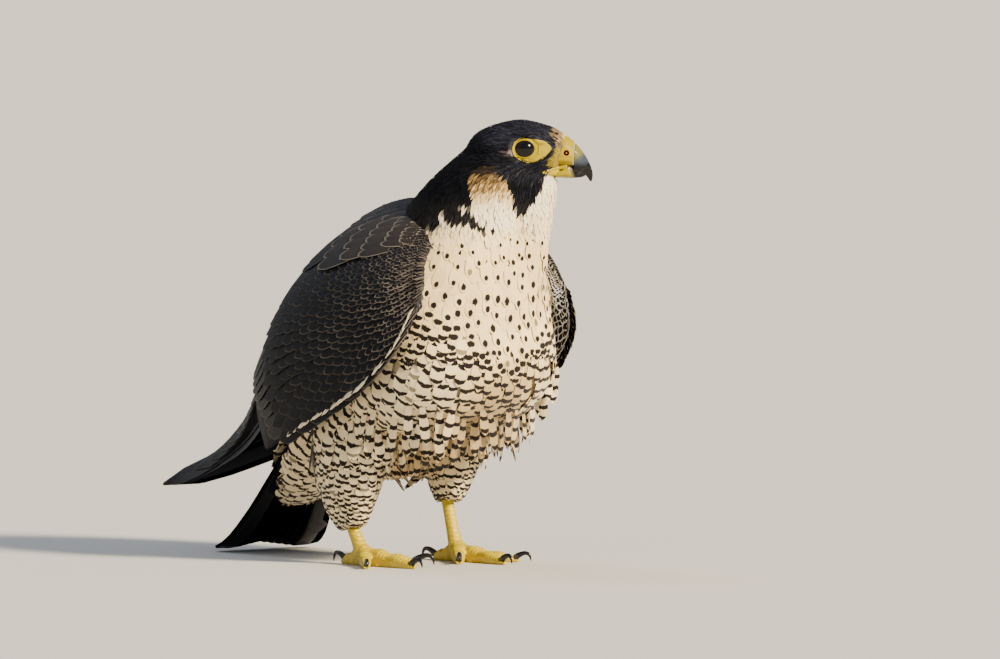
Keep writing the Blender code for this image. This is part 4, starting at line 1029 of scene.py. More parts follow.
# Rows of scapulars laid over the top of the wing: roots, tips, number, width in millimetres, lowest and
# highest t, lift of the tips and strength of the fringe.
SCAPULARS = [
    (0.27, 0.455, 5, 16.0, 0.78, 1.00, 5.0, 0.1),
    (0.20, 0.370, 5, 16.0, 0.74, 1.00, 5.4, 0.25),
    (0.13, 0.290, 6, 14.0, 0.66, 1.00, 5.6, 0.9),
    (0.085, 0.235, 7, 12.0, 0.63, 0.99, 5.2, 0.95),
    (0.045, 0.180, 8, 10.5, 0.62, 0.98, 4.6, 0.95),
    (0.010, 0.130, 9, 9.0, 0.64, 0.97, 4.0, 0.95),
    (-0.020, 0.090, 9, 7.5, 0.68, 0.96, 3.4, 0.95),
    (-0.045, 0.050, 9, 6.0, 0.72, 0.95, 2.8, 0.9),
]


def wing_core(side):
    """The closed dark body of the folded wing under its feathers."""
    rows, count = 26, 13
    s = np.linspace(-0.012, 0.56, rows)[:, None] * np.ones(count)
    t = np.ones((rows, 1)) * np.linspace(0.0, 1.0, count)
    rim = np.minimum(np.minimum(t, 1 - t) * 12, 1.0) * ramp(-0.012, 0.05, s) * ramp(0.56, 0.5, s)
    outer, _ = wing_sheet(side, s, t, -1.0 + 0.4 * rim)
    inner, _ = wing_sheet(side, s, t, -1.4 - 6.0 * rim)
    points = np.concatenate([outer.reshape(-1, 3), inner.reshape(-1, 3)])
    shift = rows * count
    faces = []
    for i in range(rows - 1):
        for j in range(count - 1):
            a, b, c, d = i * count + j, i * count + j + 1, (i + 1) * count + j + 1, (i + 1) * count + j
            faces += [(a, b, c, d), (d + shift, c + shift, b + shift, a + shift)]
    edges = [range(count), range(2 * count - 1, rows * count, count)]
    edges += [range(rows * count - 2, (rows - 1) * count - 1, -1), range((rows - 2) * count, 0, -count)]
    round_edge = [corner for edge in edges for corner in edge]
    for a, b in zip(round_edge, round_edge[1:] + round_edge[:1]):
        faces.append((b, a, a + shift, b + shift))
    made = mesh_piece("wing_arm_" + side, points, faces)
    paint(made, colour("slate") * 0.7)
    dress(made, "feather_bed", ("wing_" + side,))


def flight_feathers(side, rng):
    """The primaries, stacked flat towards the tip, and the secondaries in a row behind the arm."""
    slate, flight = colour("slate"), colour("flight")
    tier = Tier(12)
    shares = np.linspace(0, 1, tier.rows)
    order = np.arange(len(PRIMARY_TIPS))
    share = order / (len(PRIMARY_TIPS) - 1)
    starts = np.stack([np.full(len(order), 0.40), 0.16 + 0.28 * share], -1)
    ends = np.stack([np.array(PRIMARY_TIPS), np.minimum(0.30 + 0.25 * order, 0.62)], -1)
    lifts = (-8.6 + 0.92 * order)[:, None] * np.ones((1, 2))
    points, normals = paths_on(hand_sheet, side, starts, ends, lifts, tier.rows, bend=0.05)
    widths = (7.4 + 2.4 * share)[:, None] * outline(shares, 0.7, 0.12, full=0.72)[None]
    tier.put(points, normals, widths * 2, 0.5, flight, 0.15, rng=rng)

    count = 15
    share = np.arange(count) / (count - 1)
    starts = np.stack([np.full(count, 0.30), 0.03 + 0.88 * share], -1)
    ends = np.stack([0.505 + 0.10 * share, 0.05 + 0.86 * share], -1) + rng.uniform(-0.004, 0.004, (count, 2))
    points, normals = paths_on(wing_sheet, side, starts, ends, (-1.0, 1.2, 1.9, 2.3), tier.rows, bend=0.02)
    widths = 13.0 * outline(shares, 0.7, 0.3, full=0.8)[None] * np.ones((count, 1))
    left_share = 0.62 if side == "right" else 0.38
    tier.put(points, normals, widths, left_share, blend(flight, slate, share), 0.25, rng=rng)
    tier.build("flight_feathers_" + side, "flight_feather", ("wing_" + side,), columns=7, thick=0.3,
               tilt=-0.10 * SIDES[side])


def wing_coverts(side, rng):
    """Rows of coverts from the wrist back, and the scapulars over the wing's top."""
    slate, brown_and_sunlit = colour("slate"), colour("scapular")
    tier = Tier(7)
    shares = np.linspace(0, 1, tier.rows)
    for number, (s_root, s_tip, width, fringe) in enumerate(covert_rows()):
        low, high, _, bulge = sheet_frame(np.array(s_tip))
        arc = np.linalg.norm(high - low) + bulge
        count = int(arc * 0.86 / (width * 0.8))
        starts, ends = row_of(count, s_root, s_tip, -0.02, 0.82, rng, stagger=0.5 * (number % 2))
        lift = 2.6 + 1.6 * min(width / 10.0, 1.0)
        points, normals = paths_on(wing_sheet, side, starts, ends, (-1.0, lift * 0.7, lift), tier.rows)
        widths = width * 1.15 * outline(shares, 0.6, 0.3, full=0.6)[None]
        widths = widths * rng.uniform(0.9, 1.12, (count, 1))
        tier.put(points, normals, widths, 0.5, slate, fringe * rng.uniform(0.3, 1.4, count), rng=rng)
    for number, (s_root, s_tip, count, width, low, high, lift, fringe) in enumerate(SCAPULARS):
        starts, ends = row_of(count, s_root, s_tip, low, high, rng, stagger=0.5 * (number % 2), wander=-0.03)
        points, normals = paths_on(wing_sheet, side, starts, ends, (-0.5, lift * 0.7, lift), tier.rows)
        widths = width * 1.25 * outline(shares, 0.55, 0.3, full=0.55)[None]
        widths = widths * rng.uniform(0.9, 1.1, (count, 1))
        # Next to the neck the scapulars are as black as the mantle. The others' lighter brown is partly
        # painted sunlight, and the foremost ones carry a painted highlight, a tan patch of sunlight.
        inner = ramp(0.8, 0.9, ends[:, 1]) * ramp(0.34, 0.2, s_tip)
        tint = blend(slate, brown_and_sunlit, float(ramp(0.34, 0.27, s_tip)) * (1 - inner))
        shoulder_highlight = ramp(0.1, 0.06, s_tip) * ramp(0.78, 0.8, ends[:, 1]) * (1 - inner)
        tint = blend(tint, colour("shoulder"), shoulder_highlight)
        tier.put(points, normals, widths, 0.5, tint, fringe * (1 - 0.9 * inner), rng=rng)
    tier.build("coverts_" + side, "back_feather", ("wing_" + side,), tilt=-0.06 * SIDES[side], ragged=0.7,
               rng=rng)


def wing_edge(side, rng):
    """The pale line of feathers along the leading edge, and the white-rimmed ones that turn in round it."""
    slate = colour("slate")
    tier = Tier(6)
    shares = np.linspace(0, 1, tier.rows)
    count = 74
    s = np.linspace(0.02, 0.50, count)
    starts = np.stack([s, np.full(count, -0.012)], -1) + rng.uniform(-0.003, 0.003, (count, 2))
    ends = starts + (0.024, -0.014)
    points, normals = paths_on(wing_sheet, side, starts, ends, (1.6, 3.6, 4.2), tier.rows)
    widths = 1.7 * outline(shares, 0.6, 0.3)[None] * rng.uniform(0.5, 1.3, (count, 1))
    pale = rng.uniform(0, 1, (count, 1)) < 0.75 * ramp(0.5, 0.34, s)[:, None]
    tier.put(points, normals, widths, 0.5, np.where(pale, colour("white") * 0.8, slate), 0.0, rng=rng)
    for number, s_tip in enumerate(np.arange(0.0, 0.24, 0.012)[::-1]):
        count = 34
        s_root = max(s_tip - 0.03, -0.014)
        starts, ends = row_of(count, s_root, s_tip, -0.01, 0.94, rng, stagger=0.5 * (number % 2))
        points, normals = paths_on(lining_sheet, side, starts, ends, (-0.4, 0.8, 1.2), tier.rows)
        widths = 4.0 * outline(shares, 0.6, 0.3)[None] * rng.uniform(0.9, 1.1, (count, 1))
        tier.put(points, normals, widths, 0.5, slate, rng.uniform(0.4, 1.0, count), rng=rng)
    tier.build("wing_edge_" + side, "lining_feather", ("wing_" + side,), cup=0.3)


def tail_sheet(share, across, lift):
    """Points and normals of the tail's fan, so far along and so many millimetres left of its middle."""
    here = curve(TAIL_LINE, share)
    along = curve(TAIL_LINE, share + 0.03) - curve(TAIL_LINE, share - 0.03)
    side = unit(np.cross(along, UP))
    normal = unit(np.cross(along, side))
    normal = np.where(normal[..., 2:] < 0, -normal, normal)
    arch = -0.006 * across * across * (1 - share)
    return here + LEFT * across[..., None] + normal * (lift + arch)[..., None], normal


def make_tail():
    """Twelve tail feathers, the middle pair on top, with the coverts over their roots."""
    rng = np.random.default_rng(41)
    flight = colour("flight")
    rows = 14
    shares = np.linspace(0, 1, rows)
    fan = Tier(rows)
    order = (2 * np.arange(TAIL_FEATHERS) + 1 - TAIL_FEATHERS) / (TAIL_FEATHERS - 1)
    layer = np.abs(order) * (TAIL_FEATHERS - 1) / 2 - 0.5
    lift = -(layer + np.where(order > 0, 0.5, 0.0)) * 0.8
    along = TAIL_ROOT + (1 - TAIL_ROOT - 0.03 * order[:, None] ** 2) * shares
    middle = order[:, None] * (10.0 + 21.0 * along)
    points, normals = tail_sheet(along, middle, lift[:, None] * np.ones(rows))
    widths = 19.5 * outline(shares, 0.6, 0.45, full=0.9)[None] * np.ones((TAIL_FEATHERS, 1))
    fan.put(points, normals, widths, 0.5, flight, 0.12, strength=0.5, rng=rng)
    fan.build("tail_feathers", "tail_feather", ("tail",), columns=9, thick=0.3, ragged=0.6, rng=rng)

    over = Tier(9)
    shares = np.linspace(0, 1, over.rows)
    for start, end, count, reach in ((0.20, 0.46, 5, 26), (0.08, 0.34, 5, 26), (-0.05, 0.22, 4, 24)):
        middle = np.linspace(-reach / 2, reach / 2, count)
        along = start + (end - start) * shares[None] * np.ones((count, 1))
        along = along + rng.uniform(-0.01, 0.01, (count, 1))
        lifts = np.interp(shares, (0, 0.5, 1), (0.4, 2.2, 2.6))[None] + rng.uniform(0, 0.5, (count, 1))
        points, normals = tail_sheet(along, middle[:, None] * (0.8 + 0.3 * shares), lifts)
        widths = 17 * outline(shares, 0.6, 0.3)[None] * np.ones((count, 1))
        over.put(points, normals, widths, 0.5, flight * 1.3, 0.15, rng=rng)
    over.build("rump_feathers", "back_feather", columns=7, cup=1.0, thick=0.3, ragged=0.5, rng=rng)


def make_mantle():
    """Rounded back feathers that bridge the strip between the two wings, from the neck to the rump."""
    rng = np.random.default_rng(51)
    slate, brown_and_sunlit = colour("slate"), colour("scapular")
    back = Tier(8)
    shares = np.linspace(0, 1, back.rows)
    for number, s_root in enumerate(np.linspace(0.0, 0.42, 16)[::-1]):
        count = 6 + number % 2
        s = s_root + 0.11 * shares[None] * np.ones((count, 1)) + rng.uniform(-0.006, 0.006, (count, 1))
        _, high, _, _ = sheet_frame(s)
        across = np.linspace(-1, 1, count)[:, None] * np.ones(back.rows)
        points = high.copy()
        points[..., 1] = across * (np.abs(high[..., 1]) + 5.0)
        last = float(ramp(0.42, 0.34, s_root))
        lift = np.interp(shares, (0, 0.5, 1), (-2.0, 0.5 + 1.8 * last, -0.5 + 3.6 * last))
        arch = 2.4 * (1 - across**2) + lift[None]
        rise = unit(np.cross(unit(np.gradient(high, axis=1)), LEFT))
        rise = np.where(rise[..., 2:] < 0, -rise, rise)
        points = points + rise * arch[..., None]
        normals = unit(rise + 0.45 * LEFT * across[..., None])
        widths = 12.0 * outline(shares, 0.55, 0.3)[None] * rng.uniform(0.9, 1.1, (count, 1))
        # The middle rows are blended towards the scapulars' lighter brown, which is partly painted sunlight.
        share = np.full(count, float(ramp(0.3, 0.2, s_root) * ramp(0.03, 0.12, s_root)) * 0.4)
        back.put(points, normals, widths, 0.5, blend(slate, brown_and_sunlit, share), 0.1 + 0.8 * share, rng=rng)
    back.build("mantle", "back_feather", cup=0.9, ragged=0.7, rng=rng)


# Bare parts


def head_y(x, z, side):
    """How far from the head's middle the skin lies at (x, z) of the head's frame, or None."""
    reach = 45.0
    start = from_head(np.array([x, SIDES[side] * reach, z]))
    way = from_head(np.array([x, 0.0, z])) - start
    hit = skin_data["tree"].ray_cast(Vector(start), Vector(way).normalized())
    return None if hit[0] is None else abs(in_head(np.array(hit[0][:]))[1])


# The nostril's middle, and the folds of bare skin at the corner of the mouth as lines of (x, z, half
# height), in the head's frame.
NOSTRIL = (24.6, -2.4)
GAPE_FOLDS = {
    "gape_upper_": [(25.0, -10.2, 1.0), (20.5, -11.2, 1.1), (15.5, -12.4, 1.0), (10.2, -13.7, 0.4)],
    "gape_lower_": [(27.0, -14.3, 1.4), (21.5, -14.5, 1.6), (16.0, -14.5, 1.2), (10.2, -14.1, 0.4)],
}
# The eyeball's radius, how far its centre lies from the head's middle, and half the length and height of
# its opening.
EYE_RADIUS = 8.0
EYE_SIDE = 15.6
EYE_OPENING = (5.85, 5.05)


def bare_ring(side):
    """The bare lemon skin round the eye, with a raised rim at the lids."""
    around, steps, clear = 72, 9, 8.4
    # The ring's yellow is painted darker than the feet's because of the full light on the face.
    yellow, paler, fold_shade = colour("yellow") * LIT_FACE_YELLOW, colour("ring_edge"), colour("ring_crease")
    outer, inner, tints = [], [], []
    for k in range(around):
        angle = 2 * math.pi * k / around
        way = np.array([math.cos(angle), math.sin(angle)])
        opening = 1 / math.hypot(way[0] / EYE_OPENING[0], way[1] / EYE_OPENING[1])
        far = float(eye_ring(angle)) + 0.5
        for step in range(steps):
            share = step / (steps - 1)
            r = opening + (far - opening) * share
            x, z = np.array(EYE_CENTRE) + way * r
            ball = EYE_SIDE + math.sqrt(max(EYE_RADIUS**2 - min(r, 7.0) ** 2, 0.0)) + 0.25
            # Under the ring the skin is sunk, so its height is taken from where it is whole again.
            skin = head_y(*(np.array(EYE_CENTRE) + way * max(r, clear)), side)
            skin = ball if skin is None else skin + 0.45
            rest = float(ramp(opening, max(opening + 0.6 * (far - opening), clear - 0.6), r))
            y = ball * (1 - rest) + skin * rest + 0.5 * math.exp(-(((r - opening - 0.45) / 0.45) ** 2))
            y += 0.12 * math.sin(r * 5.2 + 2.2 * math.cos(angle * 2)) * rest
            outer.append((x, y * SIDES[side], z))
            inner.append((x, (y - 1.1) * SIDES[side], z))
            # Painted shade: a dark olive patch in front of and above the eye, where the skin folds.
            crease = math.exp(-(((x - 9.8) / 1.6) ** 2) - ((z - 3.4) / 0.8) ** 2)
            pale = float(ramp(0.7, 1.0, share)) * 0.5
            tints.append(blend(blend(yellow, paler, pale), fold_shade, min(0.75 * crease, 1.0)))
    shift = around * steps
    faces = []
    for k in range(around):
        n = (k + 1) % around
        for step in range(steps - 1):
            a, b, c, d = k * steps + step, k * steps + step + 1, n * steps + step + 1, n * steps + step
            faces += [(a, b, c, d), (d + shift, c + shift, b + shift, a + shift)]
        faces.append((k * steps, n * steps, n * steps + shift, k * steps + shift))
        last = steps - 1
        faces.append((n * steps + last, k * steps + last, k * steps + last + shift,
                      n * steps + last + shift))
    made = mesh_piece("bare_ring_" + side, from_head(np.array(outer + inner)), faces)
    paint(made, np.array(tints + tints))
    dress(made, "waxy_skin")


def make_eye(side):
    """A dark eye: a ball with a clear bulge in front, near-black with a brown ring round the pupil."""
    bpy.ops.object.select_all(action="DESELECT")
    bpy.ops.mesh.primitive_uv_sphere_add(segments=56, ring_count=40, radius=EYE_RADIUS * MM)
    made = bpy.context.object
    made.name = made.data.name = "eyeball_" + side
    look = from_head(np.array([0.17, SIDES[side], 0.03])) - HEAD_CENTRE
    turn = Vector(look).normalized().to_track_quat("Z", "Y").to_matrix().to_4x4()
    points = np.array([v.co[:] for v in made.data.vertices])
    wide = np.hypot(points[:, 0], points[:, 1]) / MM
    front = points[:, 2] > 0
    clear = np.where(front, ramp(6.4, 2.0, wide) * 0.55, 0.0)
    points = points * (1 + clear / EYE_RADIUS)[:, None]
    ring = ramp(3.3, 3.9, wide) * ramp(6.2, 5.2, wide) * front
    centre = placed(from_head(np.array([EYE_CENTRE[0], EYE_SIDE * SIDES[side], EYE_CENTRE[1]])))
    matrix = Matrix.Translation(Vector(centre)) @ turn
    made.data.vertices.foreach_set("co", points.ravel())
    made.data.transform(matrix)
    paint(made, blend(colour("pupil"), colour("iris"), ring))
    shade_smooth(made)
    dress(made, "wet_eye", ("eye_" + side,))


def upper_bill():
    """The hooked upper bill, greenish at its base, slate in the middle and black at the hook."""
    made = remeshed("bill_upper", ["upper_bill"], 0.3, 8)
    head = in_head(corners_of(made.data))
    # The hook's rear face is drawn back, so that the hook is as stout as a real one.
    levels = np.linspace(-20.0, -9.0, 45)
    fronts = [head[np.abs(head[:, 2] - level) < 0.5, 0].max(initial=30.0) for level in levels]
    behind = np.interp(head[:, 2], levels, fronts) - head[:, 0]
    head[:, 0] -= behind * 0.75 * ramp(-10.5, -13.5, head[:, 2])
    # Its cutting edge reaches down over the lower bill, deepest at the tooth before the hook.
    near_hook = ramp(23.0, 28.5, head[:, 0]) * ramp(36.5, 31.5, head[:, 0])
    head[:, 2] -= 3.0 * ramp(-6.5, -10.5, head[:, 2]) * near_hook
    move_to(made.data, from_head(head))
    down = head[:, 0] * 0.55 - head[:, 2] * 0.83
    tint = blend(colour("bill_base"), colour("horn"), ramp(18.6, 24.0, down))
    black = np.maximum(ramp(-7.0, -11.0, head[:, 2]) * ramp(24.5, 28.0, head[:, 0]), ramp(26.0, 29.0, down))
    paint(made, blend(tint, colour("bill_tip"), black))
    dress(made, "polished_horn", ("upper_bill",))


def lower_bill():
    """The lower bill, yellow at its base and black in front."""
    made = remeshed("bill_lower", ["lower_bill"], 0.3, 6)
    head = in_head(corners_of(made.data))
    # The upper edge is raised until the upper bill's rim overlaps it, as it does when the bill is shut.
    head[:, 2] += 2.2 * ramp(-15.6, -13.0, head[:, 2]) * ramp(30, 26, head[:, 0]) * ramp(20, 26, head[:, 0])
    head[:, 2] += 2.6 * ramp(-17.4, -14.6, head[:, 2]) * ramp(26, 30, head[:, 0])
    head[:, 1] *= 1 - 0.14 * ramp(26, 29, head[:, 0])
    head[:, 0] += 1.8 * ramp(28, 34.5, head[:, 0])
    move_to(made.data, from_head(head))
    ahead = head[:, 0] + 0.35 * (head[:, 2] + 15.0)
    tint = blend(colour("yellow") * LOWER_BILL_YELLOW, colour("lower_bill_side"), ramp(25.5, 28.0, ahead))
    paint(made, blend(tint, colour("bill_tip"), ramp(27.5, 29.8, ahead)))
    dress(made, "polished_horn", ("lower_bill",))


def waxy_cere():
    """The bare skin over the bill's base, with a round nostril in an orange rim. The opening round its post
    is painted near-black shade, and the cere's lower part has a painted shadow.
    """
    made = remeshed("waxy_cere", ["cere"], 0.32, 5)
    head = in_head(corners_of(made.data))
    away = np.hypot(head[:, 0] - NOSTRIL[0], head[:, 2] - NOSTRIL[1])
    # The cere's yellow is painted darker than the feet's because of the full light on the face.
    tint = blend(colour("yellow") * LIT_FACE_YELLOW, colour("cere_shadow"), ramp(-7.5, -11.5, head[:, 2]) * 0.4)
    tint = blend(tint, colour("nostril_rim"), ramp(2.1, 1.7, away))
    # Painted shade: the opening round the nostril's post is painted near-black.
    paint(made, blend(tint, colour("nostril"), ramp(1.9, 1.5, away) * ramp(0.6, 0.95, away)))
    dress(made, "waxy_skin", ("cere",))


def gape_fold(name, side, line):
    """A soft fold of bare skin laid on the face along a line of (x, z, half height)."""
    rows, count = 16, 10
    rings = []
    for x, z, half in curve(line, np.linspace(0, 1, rows)):
        y = head_y(x, z, side)
        y = 9.0 if y is None else y
        for k in range(count):
            angle = 2 * math.pi * k / count
            rings.append((x, SIDES[side] * (y - 0.1 + 0.5 * half * math.cos(angle)),
                          z + half * math.sin(angle)))
    faces = []
    for row in range(rows - 1):
        for k in range(count):
            a, b = row * count + k, row * count + (k + 1) % count
            faces.append((a, b, b + count, a + count))
    faces += [tuple(range(count))[::-1], tuple((rows - 1) * count + k for k in range(count))]
    made = mesh_piece(name + side, from_head(np.array(rings)), faces)
    # The fold's yellow is painted darker than the feet's because of the full light on the face.
    paint(made, colour("yellow") * LIT_FACE_YELLOW)
    dress(made, "waxy_skin")


# The middle of each foot, each toe's angle out from straight ahead and its length, and the length of a
# scute.
FOOT = {"right": (-5.0, -36.0), "left": (-3.0, 35.0)}
TOES = {"middle": (2.0, 46.0), "inner": (38.0, 33.1), "outer": (-36.0, 37.7), "hind": (176.0, 22.1)}
SCUTE = 2.5


def make_foot(side):
    """Shank and toes with rounded pads below and rows of overlapping scutes above."""
    made = remeshed("scaled_foot_" + side, ["foot_" + side, "shank_" + side], 0.7, 4)
    points = corners_of(made.data)
    normals = read(made.data.vertices, "normal", 3)
    centre = np.array([*FOOT[side], 0.0]) + (1.0, 0.0, 0.0)
    best = np.full(len(points), 1e9)
    along = np.zeros(len(points))
    for angle, length in TOES.values():
        heading = math.radians(angle) * -SIDES[side]
        way = np.array([math.cos(heading), math.sin(heading), 0.0])
        away = points - centre
        reach = np.clip(away @ way, 0, length)
        gap = np.linalg.norm((away - way * reach[:, None])[:, :2], axis=1)
        closer = gap < best
        best = np.where(closer, gap, best)
        along = np.where(closer, reach, along)
    shank = ramp(9, 14, points[:, 2])
    along = np.where(shank > 0.5, points[:, 2], along)
    upper = ramp(-0.1, 0.45, normals[:, 2]) * (1 - shank) + ramp(-0.2, 0.4, normals[:, 0]) * shank
    groove = 1 - np.abs(np.sin(math.pi * along / SCUTE)) ** 0.45
    floor = ramp(0.3, 1.6, points[:, 2])
    points = points - normals * (groove * upper * 0.42 * floor)[:, None]
    points = points + normals * (0.2 * upper * floor)[:, None]
    points[:, 2] = np.maximum(points[:, 2], 0.0)
    move_to(made.data, points)
    # Painted shade: the grooves between the scutes are painted darker on the upper side, on top of the
    # grooves' own relief.
    tint = blend(colour("yellow"), colour("scute_groove"), groove * upper * 0.55)
    paint(made, blend(tint, colour("sole"), (1 - upper) * 0.35))
    dress(made, "scaly_skin", ("foot_" + side, "shank_" + side))


def make_claws(side):
    """Smooth black claws, greyer where they leave the toe."""
    for toe in TOES:
        node = f"claw_{toe}_{side}"
        made = copy_of(f"talon_{toe}_{side}", [node])
        apply_modifier(made, "SUBSURF", levels=2, render_levels=2)
        shade_smooth(made)
        away = np.linalg.norm((corners_of(made.data) - (*FOOT[side], 0.0))[:, :2], axis=1)
        paint(made, blend(colour("claw"), colour("claw_root"), ramp(away.min() + 4, away.min(), away)))
        dress(made, "polished_horn", (node,))


# Loose feathers

# Where the feathers that have worked loose along the left flank hang to.
TUFT_TIPS = [(73.0, 48.0, 99.0), (69.0, 49.0, 106.0), (58.0, 48.0, 87.0), (46.0, 46.0, 78.0),
             (34.0, 44.0, 72.0)]


def make_plumes():
    """Long loose feathers: rounded tips over the thighs, and the belly's own that hang between the legs."""
    rng = np.random.default_rng(15)
    roots = []
    for side in SIDES.values():
        for share in np.linspace(0, 1, 15):
            for row in range(4):
                x = 58 - 100 * share + rng.uniform(-3, 3)
                roots.append((x, side * (52 - 7 * row + rng.uniform(-2, 2)),
                              112 - 10 * row + rng.uniform(-4, 4)))
    here, _, index = nearest_skin(np.array(roots))
    coat_piece("flank_plumes", here, index, rng, "breast_feather", rows=12, columns=7,
               long=4.0, wide=0.72, over=3.4, tip=0.4, soft=0.75, size=7.4)
    roots = []
    for x in np.linspace(24, -44, 12):
        for y in np.linspace(-20, 20, 7):
            roots.append((x + rng.uniform(-3, 3), y + rng.uniform(-3, 3), 78.0))
    here, _, index = nearest_skin(np.array(roots))
    coat_piece("belly_plumes", here, index, rng, "breast_feather", rows=10, long=4.4,
               wide=0.6, over=24.0, tip=0.4, soft=0.3, size=6.5)
    roots, index = scattered(rng, "hem")
    kept = rng.uniform(0, 1, len(roots)) < 0.95
    coat_piece("hem_plumes", roots[kept], index[kept], rng, "breast_feather", rows=10,
               long=4.7, wide=0.7, tip=0.12, size=4.2, hangs=True)
    loose_tufts(rng)


def loose_tufts(rng):
    """Feathers that have worked loose along the left flank and hang clear of it."""
    rows = 8
    tips = np.repeat(np.array(TUFT_TIPS), 3, axis=0)
    count = len(tips)
    tips = tips + rng.normal(0, 1.5, (count, 3))
    way = unit(np.array([0.12, 0.08, -1.0]) + rng.normal(0, 0.1, (count, 3)))
    shares = np.linspace(0, 1, rows)
    shafts = tips[:, None] - way[:, None] * (rng.uniform(17, 24, (count, 1)) * (1 - shares))[..., None]
    shafts[..., :2] += (np.array([0.6, 0.8]) * 1.8) * np.sin(math.pi * shares)[None, :, None]
    normals = unit(np.array([0.75, -0.6, 0.15]) + rng.normal(0, 0.2, (count, 1, 3)))
    normals = np.broadcast_to(normals, shafts.shape)
    half = 2.7 * outline(shares, 0.5, 0.25)[None] * rng.uniform(0.8, 1.15, (count, 1))
    tint = colour("grey") * rng.uniform(0.8, 1.0, (count, 1))
    mark = np.stack([np.ones(count), np.ones(count), np.zeros(count), rng.uniform(0, 1, count)], axis=-1)
    _, _, index = nearest_skin(tips)
    bake = np.concatenate([skin_data["places"][index], np.full((count, 2), PATCH)], axis=1)
    made = vanes("loose_tufts", shafts, normals, half, half, tint, mark, bake, cup=0.5, thick=0.1,
                 ragged=1.4, rng=rng, period=6.0, soft=0.3)
    dress(made, "breast_feather")


# The user's settings


def colour_setting(name, description, code):
    """A colour of the settings, with its default as a hex code."""
    return bpy.props.FloatVectorProperty(name=name, description=description, subtype="COLOR", size=3,
                                         min=0.0, max=1.0, default=linear(code))


class FalconColours(bpy.types.PropertyGroup):
    """Colours of plumage and bare parts."""

    slate: colour_setting("Slate", "Crown, moustache, back and wings", "#0c0d13")
    flight: colour_setting("Flight feathers", "Primaries, secondaries and tail", "#09090d")
    fringe: colour_setting("Fringe", "Pale edges of the back's feathers", "#80766c")
    cream: colour_setting("Cream", "Breast", "#ffe2a8")
    white: colour_setting("White", "Throat and cheek", "#fff0d0")
    buff: colour_setting("Buff", "Warm upper part of the cheek", "#cfa868")
    grey: colour_setting("Grey-white", "Flanks, thighs and belly", "#f2deb4")
    mark: colour_setting("Markings", "Drops and bars", "#140d0a")
    # Partly painted sunlight: this lighter brown also stands for the light that falls on scapulars and
    # mantle, beside their own browner tone.
    scapular: colour_setting("Scapulars", "Browner feathers of back and shoulder", "#28231f")
    belly: colour_setting("Belly", "Tan middle of the belly", "#c4a878")
    yellow: colour_setting("Yellow", "Cere, eye ring and feet", "#d8be00")
    horn: colour_setting("Horn", "Middle of the bill", "#3a4350")
    bill_tip: colour_setting("Bill tip", "Hook of the bill", "#060608")
    claw: colour_setting("Claws", "Black horn", "#131215")
    iris: colour_setting("Iris", "Ring round the pupil", "#150b06")
    floor: colour_setting("Floor", "Studio floor", "#d9d6d0")


class FalconSizes(bpy.types.PropertyGroup):
    """Sizes of the markings and strengths of the lights."""

    bar_spacing: bpy.props.FloatProperty(name="Bar spacing",
                                         description="Between the dark bars of the flanks",
                                         default=0.0078, min=0.003, unit="LENGTH")
    thigh_bar_spacing: bpy.props.FloatProperty(name="Thigh bar spacing",
                                               description="Between the bars of the thighs",
                                               default=0.0054, min=0.002, unit="LENGTH")
    key_power: bpy.props.FloatProperty(name="Key light", description="Strength of the warm main light",
                                       default=9.8, min=0.0)
    fill_power: bpy.props.FloatProperty(name="Fill light",
                                        description="Strength of the light from all round",
                                        default=0.52, min=0.0)


# Operators


class FALCON_OT_finishes(bpy.types.Operator):
    """Make the finishes that the pieces share"""

    bl_idname = "falcon.finishes"
    bl_label = "Finishes"

    def execute(self, context):
        dark, paler = colour("mark"), colour("fringe")
        # Small feathers of the head: matt keratin with loose barbs, which look like streaked velvet.
        plumage_material("head_feather", dark, 0.8, 0.0, paler, barb=0.3, specular=0.08)
        # Downy feathers of the breast: soft and matt, with a faint sheen where they turn away.
        plumage_material("breast_feather", dark, 0.8, 0.12, paler, barb=0.2)
        # Firm feathers of the back: closer webs, which shine a little and show each worn, pale edge.
        plumage_material("back_feather", dark, 0.6, 0.0, paler, specular=0.14)
        # Stiff flight feathers: the smoothest webs, with a low silky shine along the barbs.
        plumage_material("flight_feather", dark, 0.5, 0.0, paler, specular=0.18)
        # Small feathers round the wing's edge: dark webs in white rims, which read as fine scales.
        plumage_material("lining_feather", dark, 0.6, 0.0, colour("lining_rim"), specular=0.14)
        # Stiff tail feathers: smooth and dark, with bars a little paler than their ground.
        plumage_material("tail_feather", colour("tail_bar"), 0.5, 0.0, paler, specular=0.2)
        # Down under the coat: matt and mottled, seen only in the gaps between feathers.
        tinted_material("feather_bed", 0.8)
        # Waxy skin of cere and eye rings: a soft, low gloss over pores 0.5 mm apart.
        tinted_material("waxy_skin", 0.4, coat=0.06, pores=0.3, pore_size=0.5, specular=0.22)
        # Scaly skin of the feet: dry granules 1.1 mm wide between the scutes, and some light in the skin.
        tinted_material("scaly_skin", 0.45, coat=0.1, pores=0.8, pore_size=1.1, subsurface=0.08)
        # Polished horn of bill and claws: hard keratin rubbed smooth by use, with small clear highlights.
        tinted_material("polished_horn", 0.24, coat=0.2, pores=0.05, specular=0.3)
        # Wet eye: a film of tears over a near-black ball, which gives one clean point of light.
        tinted_material("wet_eye", 0.14, coat=0.25, specular=0.2)
        return {"FINISHED"}


class FALCON_OT_skin(bpy.types.Operator):
    """Make the one skin of head, body and thighs"""

    bl_idname = "falcon.skin"
    bl_label = "Skin"

    def execute(self, context):
        make_skin()
        return {"FINISHED"}


